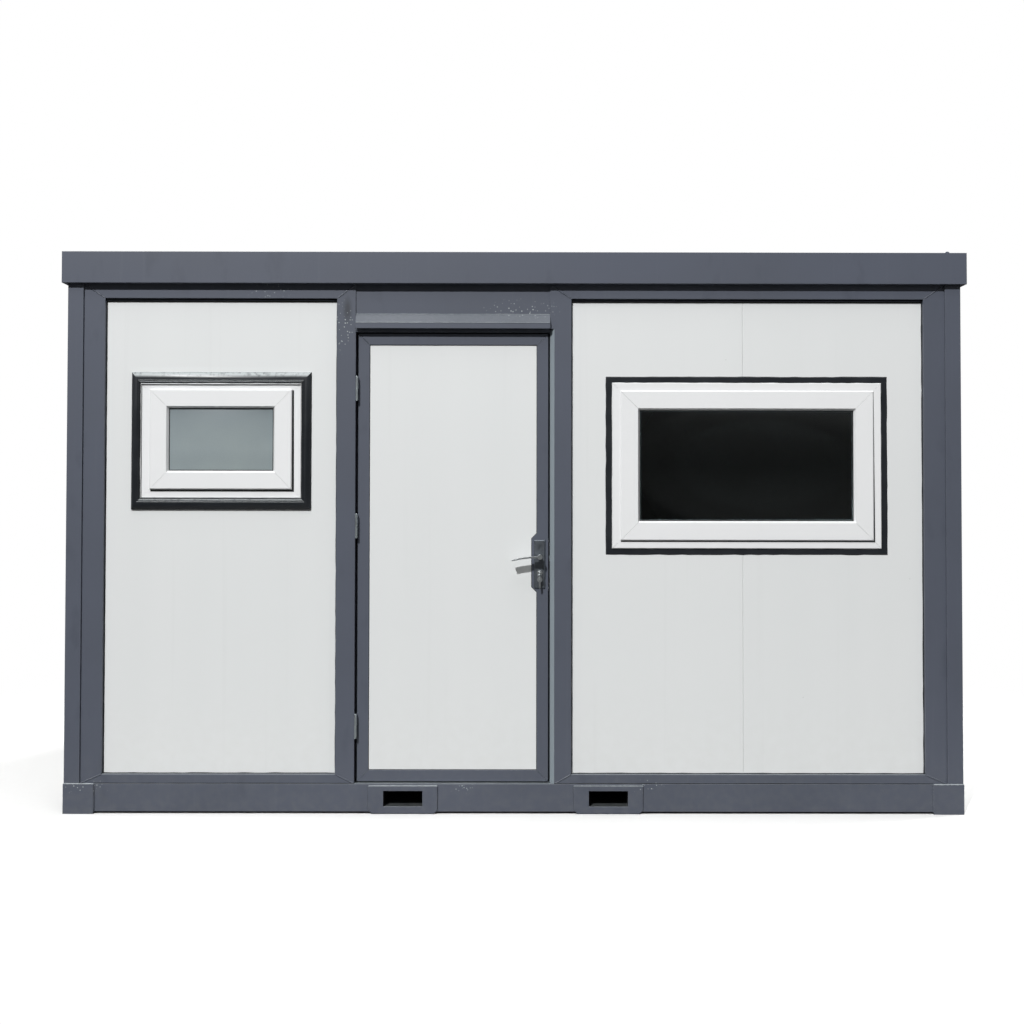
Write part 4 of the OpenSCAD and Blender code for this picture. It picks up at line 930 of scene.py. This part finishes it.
# roof fastenings
def buildRoofScrews():
    size = {"across": 8 * mm, "height": 5 * mm, "washer": 8 * mm, "rowGap": 540 * mm,
            "rowInset": 60 * mm, "ribs": 14, "sheetT": 2 * mm}
    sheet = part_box("roof_sheet")
    pitch = (sheet[1].x - sheet[0].x) / size["ribs"]
    r, depth = size["washer"], sheet[1].y - sheet[0].y
    rows = max(3, round(depth / size["rowGap"]) + 1)
    metal, rubber = bmesh.new(), bmesh.new()
    for i in range(1, size["ribs"]):
        for k in range(rows):
            y = sheet[0].y + size["rowInset"] + k * (depth - 2 * size["rowInset"]) / (rows - 1)
            base = vec(sheet[0].x + pitch * i, y, sheet[0].z + size["sheetT"])
            addLathe(rubber, [(0, 0), (r, 0), (r, 1.4 * mm), (0, 1.4 * mm)], base, (0, 0, 1), 14)
            addLathe(metal, [(0, 0), (r * 0.96, 0), (r * 0.8, 1 * mm), (0, 1.1 * mm)],
                     base + vec(0, 0, 1.4 * mm), (0, 0, 1), 14)
            addHexHead(metal, base + vec(0, 0, 2.2 * mm), (0, 0, 1), size["across"], size["height"])
    finishPiece("roof_screws", metal, "hinge_steel")
    finishPiece("roof_screw_washers", rubber, "rubber_seal")


def buildRoofSealant():
    # the gunned bead where the roof sheet's edge meets the fascia's lip
    size = {"leg": 9 * mm, "step": 70 * mm, "spread": 0.25, "sheetT": 2 * mm}
    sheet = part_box("roof_sheet")
    leg, z = size["leg"], sheet[0].z + size["sheetT"]
    corners = [vec(x * roomX, y * roomY, z) for x, y in ((-1, -1), (-1, 1), (1, 1), (1, -1))]
    path = steppedLoop(corners, size["step"])
    section = [(0, 0), (leg, 0), (leg * 0.5, leg * 0.35), (0, leg)]
    bm = bmesh.new()
    addSweep(bm, path, section, vec(0, 0, 1), scale=unevenScale(90, size["spread"]))
    finishPiece("roof_edge_sealant", bm, "rubber_seal", material=darkSealant)


buildBayBeads()
buildTopShadowGaskets()
buildMitreWelds()
buildDripRims()
buildBaseWelds()
buildBaseJoints()
buildHighlitBaseBeads()
print("wall and base details made")

trimPiece = buildMoulding("small_window_moulding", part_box("small_trim"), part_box("small_frame"))
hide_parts("small_trim")
buildGlazing("small", "small_glass", "frosted_glass")
buildGlazing("large", "large_glass", "clear_glass")
for prefix in ("small", "large"):
    buildGlassSeals(prefix, prefix + "_glass")
    buildCornerWelds(prefix, prefix + "_frame", prefix + "_sash", prefix + "_glass")
    buildTrimSealant(prefix, prefix + "_trim", prefix + "_frame", 70 if prefix == "small" else 80)
buildSashShadowStrip("small", "small_sash", "small_frame", 10 * mm, 0.8)
buildSashShadowStrip("large", "large_sash", "large_frame", 6 * mm, 0.3)
print("window details made")

buildDoorSeals()
buildInfillJoint()
buildLeafMitres()
buildHingeFittings()
buildLockFurniture()
print("door details made")

buildRoofScrews()
buildRoofSealant()
print("roof details made")


# stage, lights and camera
def buildStage():
    floor = {"radius": 12.0, "solid": 2.2, "clear": 4.4, "colour": "#f3f3f2",
             "bounce": "#888887", "speckMm": 35}
    bm = bmesh.new()
    bmesh.ops.create_circle(bm, cap_ends=True, radius=floor["radius"], segments=96)
    mesh = bpy.data.meshes.new("studioFloor")
    bm.to_mesh(mesh)
    bm.free()
    stage = bpy.data.objects.new("studioFloor", mesh)
    bpy.context.scene.collection.objects.link(stage)
    # painted studio floor that fades into the white surround away from the object
    material, tree, shader, coords = newMaterial("studioPaint", Roughness=0.8)
    speckle = patches(tree, coords, floor["speckMm"], 0.3, 0.7)
    pale = tint(tree, speckle, 0.15, floor["colour"], "#e9e9e8")
    seen = addNode(tree, "LightPath", out="Is Camera Ray")  # it bounces less light than it shows
    colour = addNode(tree, "Mix", {0: seen, 6: linearRgb(floor["bounce"]), 7: pale},
                     data_type="RGBA", out=2)
    tree.links.new(colour, shader.inputs["Base Color"])
    distance = addNode(tree, "VectorMath", {0: coords}, operation="LENGTH", out="Value")
    fade = addNode(tree, "MapRange", {"Value": distance, "From Min": floor["solid"],
                                      "From Max": floor["clear"]}, interpolation_type="SMOOTHSTEP")
    see = addNode(tree, "BsdfTransparent")
    mix = addNode(tree, "MixShader", {0: fade, 1: shader.outputs[0], 2: see})
    tree.links.new(mix, tree.nodes["Material Output"].inputs["Surface"])
    mesh.materials.append(material)


def buildWorld():
    sky = {"zenith": 0.26, "horizon": 0.06, "seen": "#ffffff"}
    world = bpy.data.worlds.new("studioSurround")
    bpy.context.scene.world = world
    world.use_nodes = True
    tree = world.node_tree
    direction = addNode(tree, "TexCoord", out="Generated")
    up = addNode(tree, "SeparateXYZ", {"Vector": direction}, out="Z")
    glow = addNode(tree, "MapRange", {"Value": up, "From Min": 0.05, "From Max": 0.9,
                                      "To Min": sky["horizon"], "To Max": sky["zenith"]})
    soft = addNode(tree, "Background", {"Color": linearRgb(sky["seen"]), "Strength": glow})
    plain = addNode(tree, "Background", {"Color": linearRgb(sky["seen"]), "Strength": 1.0})
    seen = addNode(tree, "LightPath", out="Is Camera Ray")
    mix = addNode(tree, "MixShader", {0: seen, 1: soft, 2: plain})
    tree.links.new(mix, tree.nodes["World Output"].inputs["Surface"])


def buildLights():
    lamps = {  # place in metres, size in metres, power in watts
        "keyLight": ((-7.4, -20.2, 19.5), 0.9, 7450),
        "overheadLight": ((0.0, -3.6, 8.0), 3.5, 120),
        "fillLight": ((7.5, -5.0, 4.0), 4.0, 26),
        "leftLight": ((-8.5, -0.6, 5.5), 3.0, 170),
        "backLight": ((3.5, 9.0, 10.0), 3.5, 1250),
        "sideLight": ((8.5, 1.5, 7.0), 2.4, 420),
    }
    for name, (place, size, power) in lamps.items():
        light = bpy.data.lights.new(name, "AREA")
        light.shape = "DISK"
        light.size = size
        light.energy = power
        lamp = bpy.data.objects.new(name, light)
        lamp.location = place
        lamp.visible_transmission = False
        aim = vec(0, 0, 1.1) - Vector(place)  # at the middle of the cabin
        lamp.rotation_euler = aim.to_track_quat("-Z", "Y").to_euler()
        bpy.context.scene.collection.objects.link(lamp)


def buildCamera():
    view = {"height": 1.4, "distance": 5.75, "side": -0.0234, "lens": 45.305, "pitch": 1.289,
            "yaw": 0.132, "roll": -0.088, "shiftY": -0.04143}
    data = bpy.data.cameras.new("frontCamera")
    data.sensor_width = 36
    data.lens = view["lens"]
    data.shift_y = view["shiftY"]
    camera = bpy.data.objects.new("frontCamera", data)
    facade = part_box("corner_posts")[0].y
    camera.location = (view["side"], facade - view["distance"], view["height"])
    camera.rotation_euler = (math.radians(90 + view["pitch"]), math.radians(view["roll"]),
                             math.radians(-view["yaw"]))
    bpy.context.scene.collection.objects.link(camera)
    bpy.context.scene.camera = camera


buildStage()
buildWorld()
buildLights()
buildCamera()
bpy.context.scene.view_settings.view_transform = "Standard"
print("stage, lights and camera ready")
